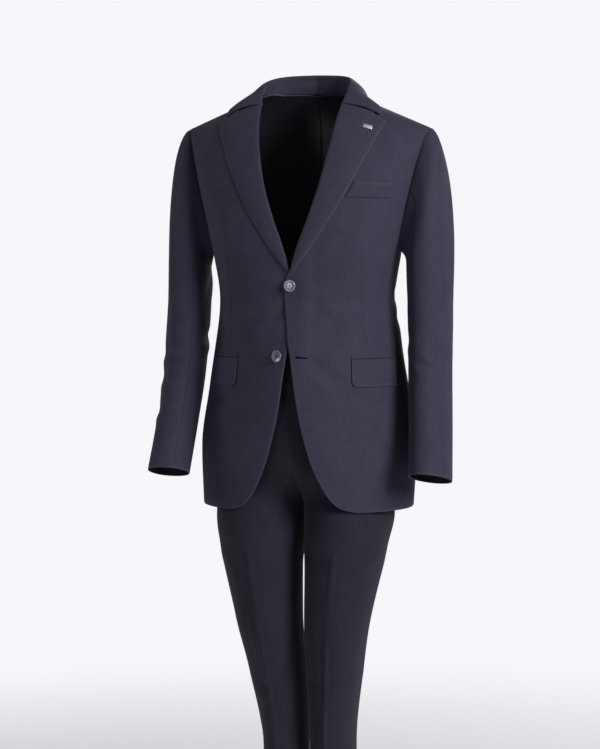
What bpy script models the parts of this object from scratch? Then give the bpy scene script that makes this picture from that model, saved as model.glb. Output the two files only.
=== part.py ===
"""A slim two-button suit, jacket and trousers, hollow and shaped as when it is worn.

Metres, Z up, the front towards -Y and the wearer's left towards +X. The origin is the
middle of the neck base, where the wearer's shoulders hold the suit up. Every piece is a
flat slab of a few rows, laid on a curved surface that is given by a few sizes.
"""
import math

import bmesh
import bpy
from mathutils import Euler, Matrix, Vector

# Driving dimensions
WALL = 0.002          # thickness of the made-up cloth
SEAM = 0.0006         # clearance between two pieces that are sewn together
LIFT = 0.0036         # how far the outside of a laid-on piece stands off its panel
LAP = 0.0042          # how far the left front stands forward where it closes over the right
HEM_Z = -0.7125       # jacket hem
ARM_Z = -0.268        # underarm
SHOULDER_HALF = 0.2155
SHOULDER_Y = 0.005
NECK_HALF = 0.0865
NECK_Z = -0.003
SHOULDER_SLOPE = 0.425
NECK_ROUND = 0.02     # how soon the back of the shoulder line turns down over the neck
CHEST_SQUARE = 0.80   # 1 is an ellipse, less is boxier, more is rounder
BACK_SQUARE = 0.85
FRONT_FULLNESS = 2.3  # 2 rises to the shoulder as an ellipse, more stays upright for longer
BACK_FULLNESS = 6.5
SIDE_FULLNESS = 3.5   # how much of the back's fullness is gone at the sides
SEAM_ROWS = 12        # rows of facets along the side seams
ARMHOLE_ROWS = 8      # and up the armhole
CROTCH_Z = -0.725
SEAT_Z = -0.640
BAND_Z = -0.488       # lower edge of the waistband
BAND_HEIGHT = 0.036
TROUSER_HEM_Z = -1.480

# Jacket body: height, half width, depth to the front, depth to the back, squareness.
BODY = [
    (-0.7125, 0.1860, 0.141, 0.128, 1.02),
    (-0.610, 0.1910, 0.149, 0.133, 1.17),
    (-0.500, 0.1765, 0.148, 0.118, 1.30),
    (-0.430, 0.1660, 0.141, 0.099, 1.25),
    (-0.3465, 0.154, 0.124, 0.088, 0.90),
    (-0.268, 0.164, 0.131, 0.106, 0.80),
]
# Front edge, roll line and neckline of the left front, from the hem up: x, z.
FRONT_EDGE = [
    (0.112, -0.7125), (0.087, -0.705), (0.069, -0.688), (0.0505, -0.655), (0.0353, -0.615),
    (0.021, -0.560), (0.011, -0.500), (0.0045, -0.455), (-0.003, -0.400), (-0.0095, -0.350),
    (-0.0095, -0.325), (-0.002, -0.303), (0.007, -0.282), (0.018, -0.249), (0.030, -0.217),
    (0.049, -0.157), (0.060, -0.107), (0.0665, -0.070), (0.0700, -0.040), (0.0740, -0.016),
    (0.0865, -0.003),
]
# Armhole: turn (-90 underarm, 0 front, 90 shoulder), angle round the body, level.
ARMHOLE_FRONT = [
    (-90, 90, 0.0), (-76, 84.5, 0.03), (-60, 80.8, 0.10), (-30, 77.5, 0.30), (0, 77.0, 0.50),
    (30, 78.0, 0.68), (60, 81.0, 0.86), (90, 85.0, 1.0),
]
ARMHOLE_BACK = [
    (90, 95.0, 1.0), (120, 100, 0.86), (150, 106, 0.68), (180, 110, 0.47), (210, 108, 0.27),
    (240, 101, 0.10), (256, 95.5, 0.03), (270, 90, 0.0),
]
SIDE_TURN = -60       # where the front's side seam meets the armhole
BACK_TURN = 210       # where the back's side seam meets it
BACK_SHOULDER = 90.01  # the shoulder point, as the back's end of the armhole
SIDE_HEM_ANGLE = 73
BACK_HEM_ANGLE = 108
NAPE = (180, 0.742)   # angle and level of the back neck point
NECK_SHARE = 0.62     # share of the back's top edge that is shoulder seam, and not neck
LAP_HEIGHTS = (-0.47, -0.235)
LAP_EDGE = 0.045      # how far the lap reaches past the middle
LAP_FADE = (0.025, 0.05)

# Sleeve below the cap: share of its length, centre x, y, z, half width, half depth.
ARM = [
    (0.00, 0.2150, 0.006, -0.300, 0.0370, 0.0680),
    (0.25, 0.2170, 0.003, -0.390, 0.0360, 0.0640),
    (0.50, 0.2200, -0.012, -0.480, 0.0350, 0.0610),
    (0.75, 0.2265, -0.040, -0.570, 0.0350, 0.0590),
    (1.00, 0.2325, -0.074, -0.655, 0.0350, 0.0570),
]
TOE_IN = math.radians(5)
SLEEVE_SQUARE = 0.95
CUFF_TILT = 0.25      # how much lower the back of the cuff hangs, per metre of depth
CAP_SHARE = 0.36      # share of a sleeve's rows that shape its cap
CAP_AWAY = Vector((0.55, -0.42, -0.62))     # the way the cap leaves the armhole: out, forward, down
CAP_TOP = Vector((0.40, 0.0, 0.22))         # what is added to that at the shoulder
CAP_BEND = (0.30, -0.18)                    # the curve's pull at the armhole, and its change at the top
CAP_LEAD = (0.35, 0.17)                     # and its pull at the upper arm
UPPER_SEAM, UNDER_SEAM = -28, 176

# Lapel's outer edge, from the top button up to its tip: x, z. Its roll line is the front's.
LAPEL_EDGE = [
    (0.008, -0.300), (0.018, -0.287), (0.037, -0.262), (0.060, -0.226), (0.084, -0.186),
    (0.102, -0.151), (0.121, -0.110), (0.137, -0.074), (0.148, -0.049),
]
LAPEL_ROUND = 0.0015   # how much more a lapel stands off than a flat piece
LAPEL_ROLL = [
    (0.002, -0.301), (0.007, -0.282), (0.018, -0.249), (0.030, -0.217), (0.049, -0.157),
    (0.060, -0.107), (0.0665, -0.070), (0.0700, -0.040), (0.0735, -0.020),
]
# Collar from its front end round to the middle of the back: share, x, y, z.
COLLAR_FOLD = [
    (0.00, 0.0735, -0.0510, -0.0155), (0.20, 0.0775, -0.030, 0.003), (0.42, 0.0795, -0.003, 0.021),
    (0.62, 0.068, 0.036, 0.032), (0.80, 0.042, 0.058, 0.0365), (1.00, 0.0, 0.068, 0.038),
]
COLLAR_EDGE = [
    (0.00, 0.1375, -0.0390, -0.0345), (0.10, 0.1365, -0.025, -0.0245), (0.30, 0.109, 0.002, -0.0085),
    (0.48, 0.101, 0.034, -0.0075), (0.76, 0.062, 0.083, -0.018), (1.00, 0.0, 0.0945, -0.022),
]
COLLAR_SEAM = [
    (0.00, 0.0775, -0.033, -0.0075), (0.25, 0.0835, -0.014, -0.0005), (0.45, 0.0862, 0.008, 0.0010),
    (0.72, 0.050, 0.058, 0.0045), (1.00, 0.0, 0.0712, 0.0050),
]
COLLAR_CROWN = 0.004  # how far the turned-down collar is rounded out between its edges
STAND_SHARE = 0.955   # the stand's top edge, as a share of the fold's way out from the neck
STAND_DROP = 0.0035

# Trouser legs: height, centre x, y, half width, half depth.
LEG = [
    (-1.480, 0.0480, 0.018, 0.0415, 0.0700), (-1.141, 0.0430, 0.015, 0.0390, 0.0730),
    (-1.000, 0.0520, -0.010, 0.0485, 0.0800), (-0.905, 0.0615, -0.032, 0.0570, 0.0860),
    (-0.780, 0.0755, -0.029, 0.0715, 0.0970), (-0.725, 0.0785, -0.016, 0.0780, 0.1020),
    (-0.452, 0.0785, 0.000, 0.0780, 0.1020),
]
HIP_SQUARE = {True: 1.20, False: 0.95}      # before and behind the side seam
# Trouser top: height, half width, depth to the front, depth to the back.
HIPS = [
    (-0.725, 0.1545, 0.110, 0.118), (-0.640, 0.1660, 0.124, 0.118), (-0.560, 0.1640, 0.126, 0.104),
    (-0.488, 0.1560, 0.124, 0.088), (-0.452, 0.1520, 0.121, 0.082),
]
BAND_SPLIT = 0.15     # degrees that the waistband's ends stay from the middle of the front

# Pockets and fastenings, on the front: x, z of the corners (lower inner, lower outer, upper outer,
# upper inner).
WELT = [(0.0925, -0.1765), (0.160, -0.179), (0.161, -0.153), (0.1060, -0.1500)]
JET = [(0.1000, -0.4510), (0.1590, -0.4520), (0.1585, -0.4465), (0.1000, -0.4455)]
FLAP = [(0.1015, -0.4990), (0.1650, -0.5000), (0.1600, -0.4530), (0.1000, -0.4520)]
FLAP_CORNER = (0.12, 0.25)  # shares of the flap's width and height that its round corner takes
BUTTON_RADIUS = 0.0103
BUTTON_THICKNESS = 0.003
BUTTON_EDGE = 0.0008
TOP_BUTTON = (0.0, -0.326)
LOWER_BUTTON = (-0.0175, -0.446)
LOWER_LIFT, LOWER_TILT = 0.0030, math.radians(12)
PIN = (0.1195, -0.0600)
PIN_SIZE = (0.016, 0.0075, 0.0015)
PIN_EDGE = 0.0003
PIN_SLANT = math.radians(-18)

# Colours: red, green, blue, roughness, metallic
CLOTH = (0.035, 0.034, 0.050, 0.85, 0.0)
TROUSER_CLOTH = (0.022, 0.022, 0.032, 0.85, 0.0)
HORN = (0.030, 0.034, 0.055, 0.22, 0.0)
STEEL = (0.62, 0.62, 0.64, 0.28, 1.0)


def smooth(keys, place):
    """Values at a place on the even curve through keys, each (place, value, value, ...)."""
    if place <= keys[0][0]:
        return keys[0][1:]
    if place >= keys[-1][0]:
        return keys[-1][1:]
    index = max(i for i in range(len(keys) - 1) if keys[i][0] <= place)
    start, end = keys[index], keys[index + 1]
    span = end[0] - start[0]
    part = (place - start[0]) / span
    values = []
    for column in range(1, len(start)):
        first = slope(keys, index, column) * span
        last = slope(keys, index + 1, column) * span
        step = end[column] - start[column]
        cubic = first + last - 2 * step
        square = step - first - cubic
        values.append(start[column] + part * (first + part * (square + part * cubic)))
    return tuple(values)


def slope(keys, index, column):
    """Slope of a column of keys, level at its crests and straight at its ends."""
    def secant(i):
        return (keys[i + 1][column] - keys[i][column]) / (keys[i + 1][0] - keys[i][0])

    if index == 0:
        return secant(0)
    if index == len(keys) - 1:
        return secant(index - 1)
    before, after = secant(index - 1), secant(index)
    if before * after <= 0:
        return 0.0
    return 2 * before * after / (before + after)


def power(value, exponent):
    return math.copysign(abs(value) ** exponent, value)


def mix(first, last, share):
    return tuple(a + (b - a) * share for a, b in zip(first, last))


def ease(value):
    """0 to 1 without a kink at either end."""
    value = min(1.0, max(0.0, value))
    return value * value * (3 - 2 * value)


def lengthwise(points, start=0.0, end=1.0):
    """Keys for smooth() of places on the body, by their share of the length between them."""
    spots = [torso(*point) for point in points]
    length = [0.0]
    for before, after in zip(spots, spots[1:]):
        length.append(length[-1] + (after - before).length)
    return [(start + (end - start) * run / length[-1], *point) for run, point in zip(length, points)]


def shoulder_height(x):
    """Height of the shoulder line, carried on over the neck for the back."""
    return NECK_Z + SHOULDER_SLOPE * (math.hypot(NECK_HALF, NECK_ROUND) - math.hypot(x, NECK_ROUND))


def torso(angle, level):
    """Jacket body: angle 0 centre front to 180 centre back, level -1 hem, 0 underarm, 1 shoulder."""
    turn = math.radians(angle)
    sine, cosine = math.sin(turn), math.cos(turn)
    z = ARM_Z + min(level, 0.0) * (ARM_Z - HEM_Z)
    half, front, back, square = smooth(BODY, z)
    depth = front
    if cosine < 0:
        square, depth = BACK_SQUARE, back
    across, along = power(sine, square), power(cosine, square)
    if level <= 0:
        return Vector((half * across, -depth * along, z))
    climb = math.radians(90 * level)
    lifted = math.sin(climb)
    fullness = FRONT_FULLNESS if cosine > 0 else BACK_FULLNESS - SIDE_FULLNESS * abs(across)
    fall = math.copysign(math.sqrt(1 - lifted ** fullness), math.cos(climb))
    half += (SHOULDER_HALF - half) * lifted
    top = shoulder_height(SHOULDER_HALF * across)
    y = SHOULDER_Y - (SHOULDER_Y + depth * along) * fall - math.copysign(SEAM / 2, cosine) * lifted
    return Vector((half * across, y, z + (top - z) * lifted))


def front_place(x, z):
    """Angle and level of the point of the front at x and z."""
    if z <= ARM_Z:
        half, _, _, square = smooth(BODY, z)
        across = x / half
        level = (z - ARM_Z) / (ARM_Z - HEM_Z)
    else:
        square, across = CHEST_SQUARE, x / SHOULDER_HALF
        underarm = BODY[-1][1]
        for _ in range(12):
            lifted = min(1.0, (z - ARM_Z) / (shoulder_height(SHOULDER_HALF * across) - ARM_Z))
            across = x / (underarm + (SHOULDER_HALF - underarm) * lifted)
        level = math.degrees(math.asin(lifted)) / 90
    across = max(-1.0, min(1.0, across))
    return math.degrees(math.asin(power(across, 1 / square))), level


def lap(point):
    """How far the closed left front stands forward of the right one."""
    across, along = LAP_FADE
    low, high = (point.z - LAP_HEIGHTS[0]) / along, (LAP_HEIGHTS[1] - point.z) / along
    return LAP * ease((LAP_EDGE - point.x) / across) * ease(low) * ease(high)


def facing(surface, u, v, step=0.002):
    """The way out from a surface whose u runs to the left of whoever looks at it from inside."""
    across = surface(u + step, v) - surface(u - step, v)
    along = surface(u, v + step) - surface(u, v - step)
    return across.cross(along).normalized()


def dress(name, mesh, colour):
    """Make a mesh an object with a material of its own."""
    bmesh.ops.recalc_face_normals(mesh, faces=mesh.faces)
    if mesh.calc_volume(signed=True) < 0:
        bmesh.ops.reverse_faces(mesh, faces=mesh.faces)
    data = bpy.data.meshes.new(name)
    mesh.to_mesh(data)
    mesh.free()
    finish = bpy.data.materials.new(name)
    finish.use_nodes = True
    shader = finish.node_tree.nodes["Principled BSDF"]
    shader.inputs["Base Color"].default_value = (*colour[:3], 1.0)
    shader.inputs["Roughness"].default_value = colour[3]
    shader.inputs["Metallic"].default_value = colour[4]
    data.materials.append(finish)
    data.shade_smooth()
    data.set_sharp_from_angle(angle=math.radians(40))
    piece = bpy.data.objects.new(name, data)
    bpy.context.scene.collection.objects.link(piece)


def cloth(name, surface, columns, rows, mirrored=False, lift=None, colour=CLOTH, trim=(0.002, 0.001)):
    """A flat slab laid on a surface(u, v); trim is what its edges keep clear of 0 and 1."""
    mesh = bmesh.new()
    bmesh.ops.create_grid(mesh, x_segments=columns, y_segments=rows, size=0.5)
    made = bmesh.ops.extrude_face_region(mesh, geom=mesh.faces[:], use_keep_orig=True)
    for vertex in (item for item in made["geom"] if isinstance(item, bmesh.types.BMVert)):
        vertex.co.z = WALL
    for vertex in mesh.verts:
        u = trim[0] + (1 - 2 * trim[0]) * (vertex.co.x + 0.5)
        v = trim[1] + (1 - 2 * trim[1]) * (vertex.co.y + 0.5)
        point, outward = surface(u, v), facing(surface, u, v)
        height = lift(point) if lift else 0.0
        vertex.co = point + outward * (height - vertex.co.z)
        if mirrored:
            vertex.co.x = -vertex.co.x
    dress(name, mesh, colour)


def panel(left, right, lower, upper):
    """Surface of a body panel inside four edges, each an angle and level by share of length."""
    def surface(u, v):
        ruled = mix(left(v), right(v), u)
        crossed = mix(lower(u), upper(u), v)
        corners = mix(mix(lower(0), lower(1), u), mix(upper(0), upper(1), u), v)
        return torso(*(a + b - c for a, b, c in zip(ruled, crossed, corners)))
    return surface


def armhole(turn):
    """Angle and level of the armhole: -90 underarm, 0 front, 90 shoulder, 180 back."""
    turn = (turn + 90) % 360 - 90
    return smooth(ARMHOLE_FRONT if turn <= 90 else ARMHOLE_BACK, turn)


def outer_edge(hem_angle, meeting, shoulder):
    """Keys of a panel's edge up its side seam and then up the armhole to the shoulder."""
    corner = armhole(meeting)
    seam = [mix((hem_angle, -1.0), corner, step / SEAM_ROWS) for step in range(SEAM_ROWS + 1)]
    turns = [meeting + (shoulder - meeting) * step / ARMHOLE_ROWS for step in range(ARMHOLE_ROWS + 1)]
    share = SEAM_ROWS / (SEAM_ROWS + ARMHOLE_ROWS)
    return lengthwise(seam, 0.0, share)[:-1] + lengthwise([armhole(t) for t in turns], share, 1.0)


def front_panel():
    edge = lengthwise([front_place(*point) for point in FRONT_EDGE])
    outer = outer_edge(SIDE_HEM_ANGLE, SIDE_TURN, 90)
    hem, neck = edge[0][1:], edge[-1][1:]
    return panel(lambda v: smooth(edge, v), lambda v: smooth(outer, v),
                 lambda u: mix(hem, (SIDE_HEM_ANGLE, -1.0), u), lambda u: mix(neck, armhole(90), u))


def side_panel():
    front, back = (SIDE_HEM_ANGLE, -1.0), (BACK_HEM_ANGLE, -1.0)
    sweep = 360 + SIDE_TURN - BACK_TURN
    return panel(lambda v: mix(front, armhole(SIDE_TURN), v), lambda v: mix(back, armhole(BACK_TURN), v),
                 lambda u: mix(front, back, u), lambda u: armhole(SIDE_TURN - sweep * u))


def back_panel():
    outer = outer_edge(BACK_HEM_ANGLE, BACK_TURN, BACK_SHOULDER)
    neck = 180 - math.degrees(math.asin((NECK_HALF / SHOULDER_HALF) ** (1 / BACK_SQUARE)))
    scoop = ((1 + NECK_SHARE) / 2, (neck + NAPE[0]) / 2, 0.84)
    top = [(0.0, *armhole(BACK_SHOULDER)), (NECK_SHARE, neck, 1.0), scoop, (1.0, *NAPE)]
    return panel(lambda v: smooth(outer, v), lambda v: mix((180.0, -1.0), NAPE, v),
                 lambda u: mix((BACK_HEM_ANGLE, -1.0), (180.0, -1.0), u), lambda u: smooth(top, u))


def sleeve_ring(turn, share):
    """Point of the sleeve below its cap."""
    x, y, z, half, depth = smooth(ARM, share)
    angle = math.radians(turn)
    out = half * power(math.sin(angle), SLEEVE_SQUARE)
    back = -depth * power(math.cos(angle), SLEEVE_SQUARE)
    z -= CUFF_TILT * max(share, 0.0) ** 4 * back
    return Vector((x + out * math.cos(TOE_IN) + back * math.sin(TOE_IN),
                   y - out * math.sin(TOE_IN) + back * math.cos(TOE_IN), z))


def sleeve_point(turn, share):
    """Point of the sleeve: share 0 at the armhole, CAP_SHARE at the upper arm, 1 at the cuff."""
    if share >= CAP_SHARE:
        return sleeve_ring(turn, (share - CAP_SHARE) / (1 - CAP_SHARE))
    angle = math.radians(turn)
    top = max(0.0, math.sin(angle))
    start, end = torso(*armhole(turn)), sleeve_ring(turn, 0.0)
    away = CAP_AWAY + CAP_TOP * top
    away.y *= math.cos(angle)
    away.normalize()
    start = start + away * SEAM
    reach = (end - start).length
    bend = start + away * reach * (CAP_BEND[0] + CAP_BEND[1] * top)
    above = (end - sleeve_ring(turn, 0.02)).normalized()
    lead = end + above * reach * (CAP_LEAD[0] + CAP_LEAD[1] * top)
    t = max(share, 0.0) / CAP_SHARE
    return ((1 - t) ** 3 * start + 3 * t * (1 - t) ** 2 * bend + 3 * t * t * (1 - t) * lead
            + t ** 3 * end)


def sleeve(first, last):
    """Surface of the stretch of a sleeve between two turns."""
    return lambda u, v: sleeve_point(first + (last - first) * u, 1 - v)


def laid_on(corners, rounding=(1.0, 0.0)):
    """Surface of a piece on the front inside four corners given by x and z."""
    def surface(u, v):
        beside = 1 - min(max(u / rounding[0], 0.0), 1.0)
        v += (1 - v) * rounding[1] * (1 - math.sqrt(1 - beside * beside))
        x, z = mix(mix(corners[0], corners[1], u), mix(corners[3], corners[2], u), v)
        return torso(*front_place(x, z))
    return surface


def lapel():
    """Surface of a lapel, from the roll line out to its edge."""
    roll = lengthwise([front_place(*point) for point in LAPEL_ROLL])
    edge = lengthwise([front_place(*point) for point in LAPEL_EDGE])
    return lambda u, v: torso(*mix(smooth(roll, v), smooth(edge, v), u))


def round_the_neck(inner, outer, crown):
    """Surface of a collar piece, from its upper line to its lower and from left to right."""
    def surface(u, v):
        side = 1 if v < 0.5 else -1
        share = 1 - abs(1 - 2 * v)
        point = Vector(mix(smooth(inner, share), smooth(outer, share), u))
        bulge = crown * math.sin(math.pi * min(max(u, 0.0), 1.0))
        point += Vector((point.x, point.y, NECK_HALF)).normalized() * bulge
        point.x *= side
        return point
    return surface


def hip_point(wide, deep, quarter, z):
    """Point of the hips: deep is below zero in front."""
    square = HIP_SQUARE[deep < 0]
    return Vector((wide * power(math.sin(quarter), square), deep * power(math.cos(quarter), square), z))


def leg_point(turn, z):
    """Trousers: turn 0 at the inside or the centre front, 90 front, 180 outside, 270 back."""
    angle = math.radians(turn)
    x, y, half, depth = smooth(LEG, z)
    low = Vector((x - half * math.cos(angle), y - depth * math.sin(angle), z))
    wide, front, back = smooth(HIPS, z)
    before = turn <= 180
    quarter = math.radians(turn if before else 360 - turn) / 2
    high = hip_point(wide, -front if before else back, quarter, z)
    return low.lerp(high, ease((z - CROTCH_Z) / (SEAT_Z - CROTCH_Z)))


def leg(first, last):
    """Surface of the front or back half of a leg, up to the waistband."""
    top = BAND_Z - SEAM

    def surface(u, v):
        point = leg_point(first + (last - first) * u, TROUSER_HEM_Z + (top - TROUSER_HEM_Z) * v)
        if 0 <= u <= 1:
            point.x = max(point.x, SEAM / 2)
        return point
    return surface


def waistband(u, v):
    turn = BAND_SPLIT + (360 - 2 * BAND_SPLIT) * u
    wide, front, back = smooth(HIPS, BAND_Z + BAND_HEIGHT * v)
    if math.cos(math.radians(turn)) > 0:
        return hip_point(wide, -front, math.radians(turn), BAND_Z + BAND_HEIGHT * v)
    return hip_point(wide, back, math.radians(180 - turn), BAND_Z + BAND_HEIGHT * v)


def set_on_front(mesh, place, lift, mirrored=False, tilt=0.0):
    """Stand a small flat piece on the front at x and z."""
    x, z = place
    side = -1 if mirrored or x < 0 else 1
    angle, level = front_place(abs(x), z)
    outward = facing(torso_by_share, angle / 180, level)
    point = torso(angle, level)
    point.x, outward.x = side * point.x, side * outward.x
    outward.rotate(Euler((0, 0, -tilt)))
    turned = outward.to_track_quat("Z", "Y").to_matrix().to_4x4()
    bmesh.ops.transform(mesh, matrix=Matrix.Translation(point + outward * lift) @ turned, verts=mesh.verts)


def torso_by_share(share, level):
    return torso(share * 180, level)


def button(name, place, lift, tilt=0.0):
    mesh = bmesh.new()
    bmesh.ops.create_cone(mesh, cap_ends=True, segments=24, radius1=BUTTON_RADIUS, radius2=BUTTON_RADIUS,
                          depth=BUTTON_THICKNESS)
    rim = [edge for edge in mesh.edges if edge.calc_face_angle() > math.radians(60)]
    bmesh.ops.bevel(mesh, geom=rim, offset=BUTTON_EDGE, segments=1, profile=0.5, affect="EDGES",
                    material=-1)
    set_on_front(mesh, place, lift + BUTTON_THICKNESS / 2, tilt=tilt)
    dress(name, mesh, HORN)


def bar_pin(name):
    mesh = bmesh.new()
    bmesh.ops.create_cube(mesh, size=1.0)
    bmesh.ops.scale(mesh, vec=PIN_SIZE, verts=mesh.verts)
    bmesh.ops.bevel(mesh, geom=mesh.edges[:], offset=PIN_EDGE, segments=1, profile=0.5, affect="EDGES",
                    material=-1)
    bmesh.ops.rotate(mesh, matrix=Matrix.Rotation(PIN_SLANT, 3, "Z"), verts=mesh.verts)
    set_on_front(mesh, PIN, LIFT + LAPEL_ROUND + PIN_SIZE[2] / 2 + SEAM)
    dress(name, mesh, STEEL)


def make_jacket():
    for mirrored, side in ((False, "left"), (True, "right")):
        over = (lambda point: 0.0) if mirrored else lap
        cloth(f"jacket_front_{side}", front_panel(), 9, SEAM_ROWS + ARMHOLE_ROWS, mirrored, over)
        cloth(f"jacket_side_{side}", side_panel(), 4, SEAM_ROWS, mirrored, trim=(0.005, 0.001))
        cloth(f"jacket_back_{side}", back_panel(), 8, SEAM_ROWS + ARMHOLE_ROWS, mirrored)
        cloth(f"sleeve_upper_{side}", sleeve(UPPER_SEAM, UNDER_SEAM), 8, 15, mirrored)
        cloth(f"sleeve_under_{side}", sleeve(UNDER_SEAM, 360 + UPPER_SEAM), 5, 15, mirrored,
              trim=(0.003, 0.001))
        cloth(f"lapel_{side}", lapel(), 4, 10, mirrored, lambda point: over(point) + LIFT + LAPEL_ROUND,
              trim=(0.0, 0.004))
        cloth(f"pocket_jet_{side}", laid_on(JET), 6, 1, mirrored, lambda point: LIFT)
        cloth(f"pocket_flap_{side}", laid_on(FLAP, FLAP_CORNER), 8, 2, mirrored, lambda point: LIFT)
    cloth("breast_welt", laid_on(WELT), 6, 1, lift=lambda point: LIFT)


def make_collar():
    top = [(share, x * STAND_SHARE, y * STAND_SHARE, z - STAND_DROP) for share, x, y, z in COLLAR_FOLD]
    cloth("collar_leaf", round_the_neck(COLLAR_FOLD, COLLAR_EDGE, COLLAR_CROWN), 3, 26)
    cloth("collar_stand", round_the_neck(top, COLLAR_SEAM, 0.0), 2, 24, trim=(0.0, 0.03))


def make_fastenings():
    button("button_top", TOP_BUTTON, LAP + SEAM)
    button("button_lower", LOWER_BUTTON, LOWER_LIFT, LOWER_TILT)
    bar_pin("lapel_pin")


def make_trousers():
    for mirrored, side in ((False, "left"), (True, "right")):
        cloth(f"trouser_front_{side}", leg(0, 180), 7, 18, mirrored, colour=TROUSER_CLOTH)
        cloth(f"trouser_back_{side}", leg(180, 360), 7, 18, mirrored, colour=TROUSER_CLOTH)
    cloth("waistband", waistband, 28, 1, colour=TROUSER_CLOTH, trim=(0.0, 0.0))


def main():
    for item in list(bpy.data.objects):
        bpy.data.objects.remove(item, do_unlink=True)
    make_jacket()
    make_collar()
    make_fastenings()
    make_trousers()


main()
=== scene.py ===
# %% [markdown]
# # A slim two-button suit
# A suit is flat cloth that has been cut, sewn and pressed until it keeps the shape of a body.
# This lesson starts from a model of every cut piece, as plain facets, and makes each
# piece again as fine pressed wool that lies exactly where its plain piece lies.

# %% Load the model
import math

import bmesh
import bpy
import numpy as np
from mathutils import Euler, Matrix, Vector


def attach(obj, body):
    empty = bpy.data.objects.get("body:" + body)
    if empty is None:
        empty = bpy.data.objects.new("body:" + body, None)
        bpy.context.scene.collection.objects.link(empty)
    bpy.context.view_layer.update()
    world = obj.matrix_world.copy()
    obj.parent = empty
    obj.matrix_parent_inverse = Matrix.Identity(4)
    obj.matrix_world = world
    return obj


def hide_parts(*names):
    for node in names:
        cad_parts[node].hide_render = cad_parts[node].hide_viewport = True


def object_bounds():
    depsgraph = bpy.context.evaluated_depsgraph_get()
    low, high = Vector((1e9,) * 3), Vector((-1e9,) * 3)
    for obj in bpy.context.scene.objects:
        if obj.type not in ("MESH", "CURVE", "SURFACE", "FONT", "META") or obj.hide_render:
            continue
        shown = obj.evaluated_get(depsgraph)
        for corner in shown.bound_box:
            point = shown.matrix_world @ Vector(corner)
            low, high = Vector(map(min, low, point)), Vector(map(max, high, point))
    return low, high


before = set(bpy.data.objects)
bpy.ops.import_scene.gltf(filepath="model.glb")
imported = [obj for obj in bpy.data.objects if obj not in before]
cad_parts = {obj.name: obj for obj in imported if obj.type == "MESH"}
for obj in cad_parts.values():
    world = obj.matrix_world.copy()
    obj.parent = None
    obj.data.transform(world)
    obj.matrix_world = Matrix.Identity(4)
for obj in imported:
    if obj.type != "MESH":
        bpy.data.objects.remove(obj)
cad_low, cad_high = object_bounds()
print("nodes:", len(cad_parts), "box:", tuple(cad_low), tuple(cad_high))

# %% [markdown]
# ## Floor, light and camera
# Dark wool shows its shape only where light falls across it. One broad lamp stands to the front
# right, well round to the side, so the left front is lit and the right front falls into shade, as
# the lapels, flaps and creases need. A weaker lamp on the other side draws the far sleeve, and a
# dim sky fills the rest. A lamp behind lights the back, and a small low one is there for the
# polished buttons to mirror. The camera sees a white studio in place of that sky. The floor is a
# pale round sheet under the hems, which fades out into the white before its rim.

# %% Floor
HEM_HEIGHT = cad_low.z
FLOOR_DROP = 0.002
FLOOR_RADIUS, FLOOR_SOLID = 2.6, 0.8      # it is whole inside the second, and gone at the first
WHITE = (0.93, 0.92, 0.965)


def link(tree, output, entry):
    tree.links.new(output, entry)


def floor_finish():
    made = bpy.data.materials.new("pale_floor")
    made.use_nodes = True
    tree = made.node_tree
    shader, end = tree.nodes["Principled BSDF"], tree.nodes["Material Output"]
    shader.inputs["Base Color"].default_value = (0.90, 0.90, 0.92, 1.0)
    shader.inputs["Roughness"].default_value = 0.9
    place = tree.nodes.new("ShaderNodeTexCoord")
    flat = tree.nodes.new("ShaderNodeVectorMath")
    flat.operation = "MULTIPLY"
    flat.inputs[1].default_value = (1, 1, 0)
    reach = tree.nodes.new("ShaderNodeVectorMath")
    reach.operation = "LENGTH"
    fade = tree.nodes.new("ShaderNodeMapRange")
    fade.interpolation_type = "SMOOTHSTEP"
    fade.inputs["From Min"].default_value, fade.inputs["From Max"].default_value = FLOOR_SOLID, FLOOR_RADIUS
    clear, both = tree.nodes.new("ShaderNodeBsdfTransparent"), tree.nodes.new("ShaderNodeMixShader")
    link(tree, place.outputs["Object"], flat.inputs[0])
    link(tree, flat.outputs["Vector"], reach.inputs[0])
    link(tree, reach.outputs["Value"], fade.inputs["Value"])
    link(tree, fade.outputs["Result"], both.inputs[0])
    link(tree, shader.outputs[0], both.inputs[1])
    link(tree, clear.outputs[0], both.inputs[2])
    link(tree, both.outputs[0], end.inputs["Surface"])
    return made


def make_floor():
    mesh = bmesh.new()
    bmesh.ops.create_circle(mesh, cap_ends=True, segments=96, radius=FLOOR_RADIUS)
    bmesh.ops.translate(mesh, vec=(0, 0, HEM_HEIGHT - FLOOR_DROP), verts=mesh.verts)
    data = bpy.data.meshes.new("floor")
    mesh.to_mesh(data)
    mesh.free()
    data.materials.append(floor_finish())
    floor = bpy.data.objects.new("floor", data)
    bpy.context.scene.collection.objects.link(floor)


make_floor()
print("floor at", round(HEM_HEIGHT - FLOOR_DROP, 4))

# %% Light
SKY, SKY_STRENGTH = (0.94, 0.94, 1.0), 0.13
MIDDLE = Vector((0.0, 0.0, -0.40))
LAMPS = {  # place, width, watts
    "key_lamp": ((2.30, -1.40, 0.65), 1.3, 82.0),
    "side_lamp": ((-2.4, -0.20, 0.45), 1.1, 15.0),
    "back_lamp": ((0.3, 2.6, 0.9), 1.4, 30.0),
    "button_lamp": ((-0.75, -3.00, -0.95), 0.7, 9.0),
}


def make_lamp(name, place, width, watts):
    light = bpy.data.lights.new(name, "AREA")
    light.shape = "DISK"
    light.size = width
    light.energy = watts
    lamp = bpy.data.objects.new(name, light)
    lamp.location = place
    lamp.rotation_euler = (MIDDLE - Vector(place)).to_track_quat("-Z", "Y").to_euler()
    bpy.context.scene.collection.objects.link(lamp)


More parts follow.
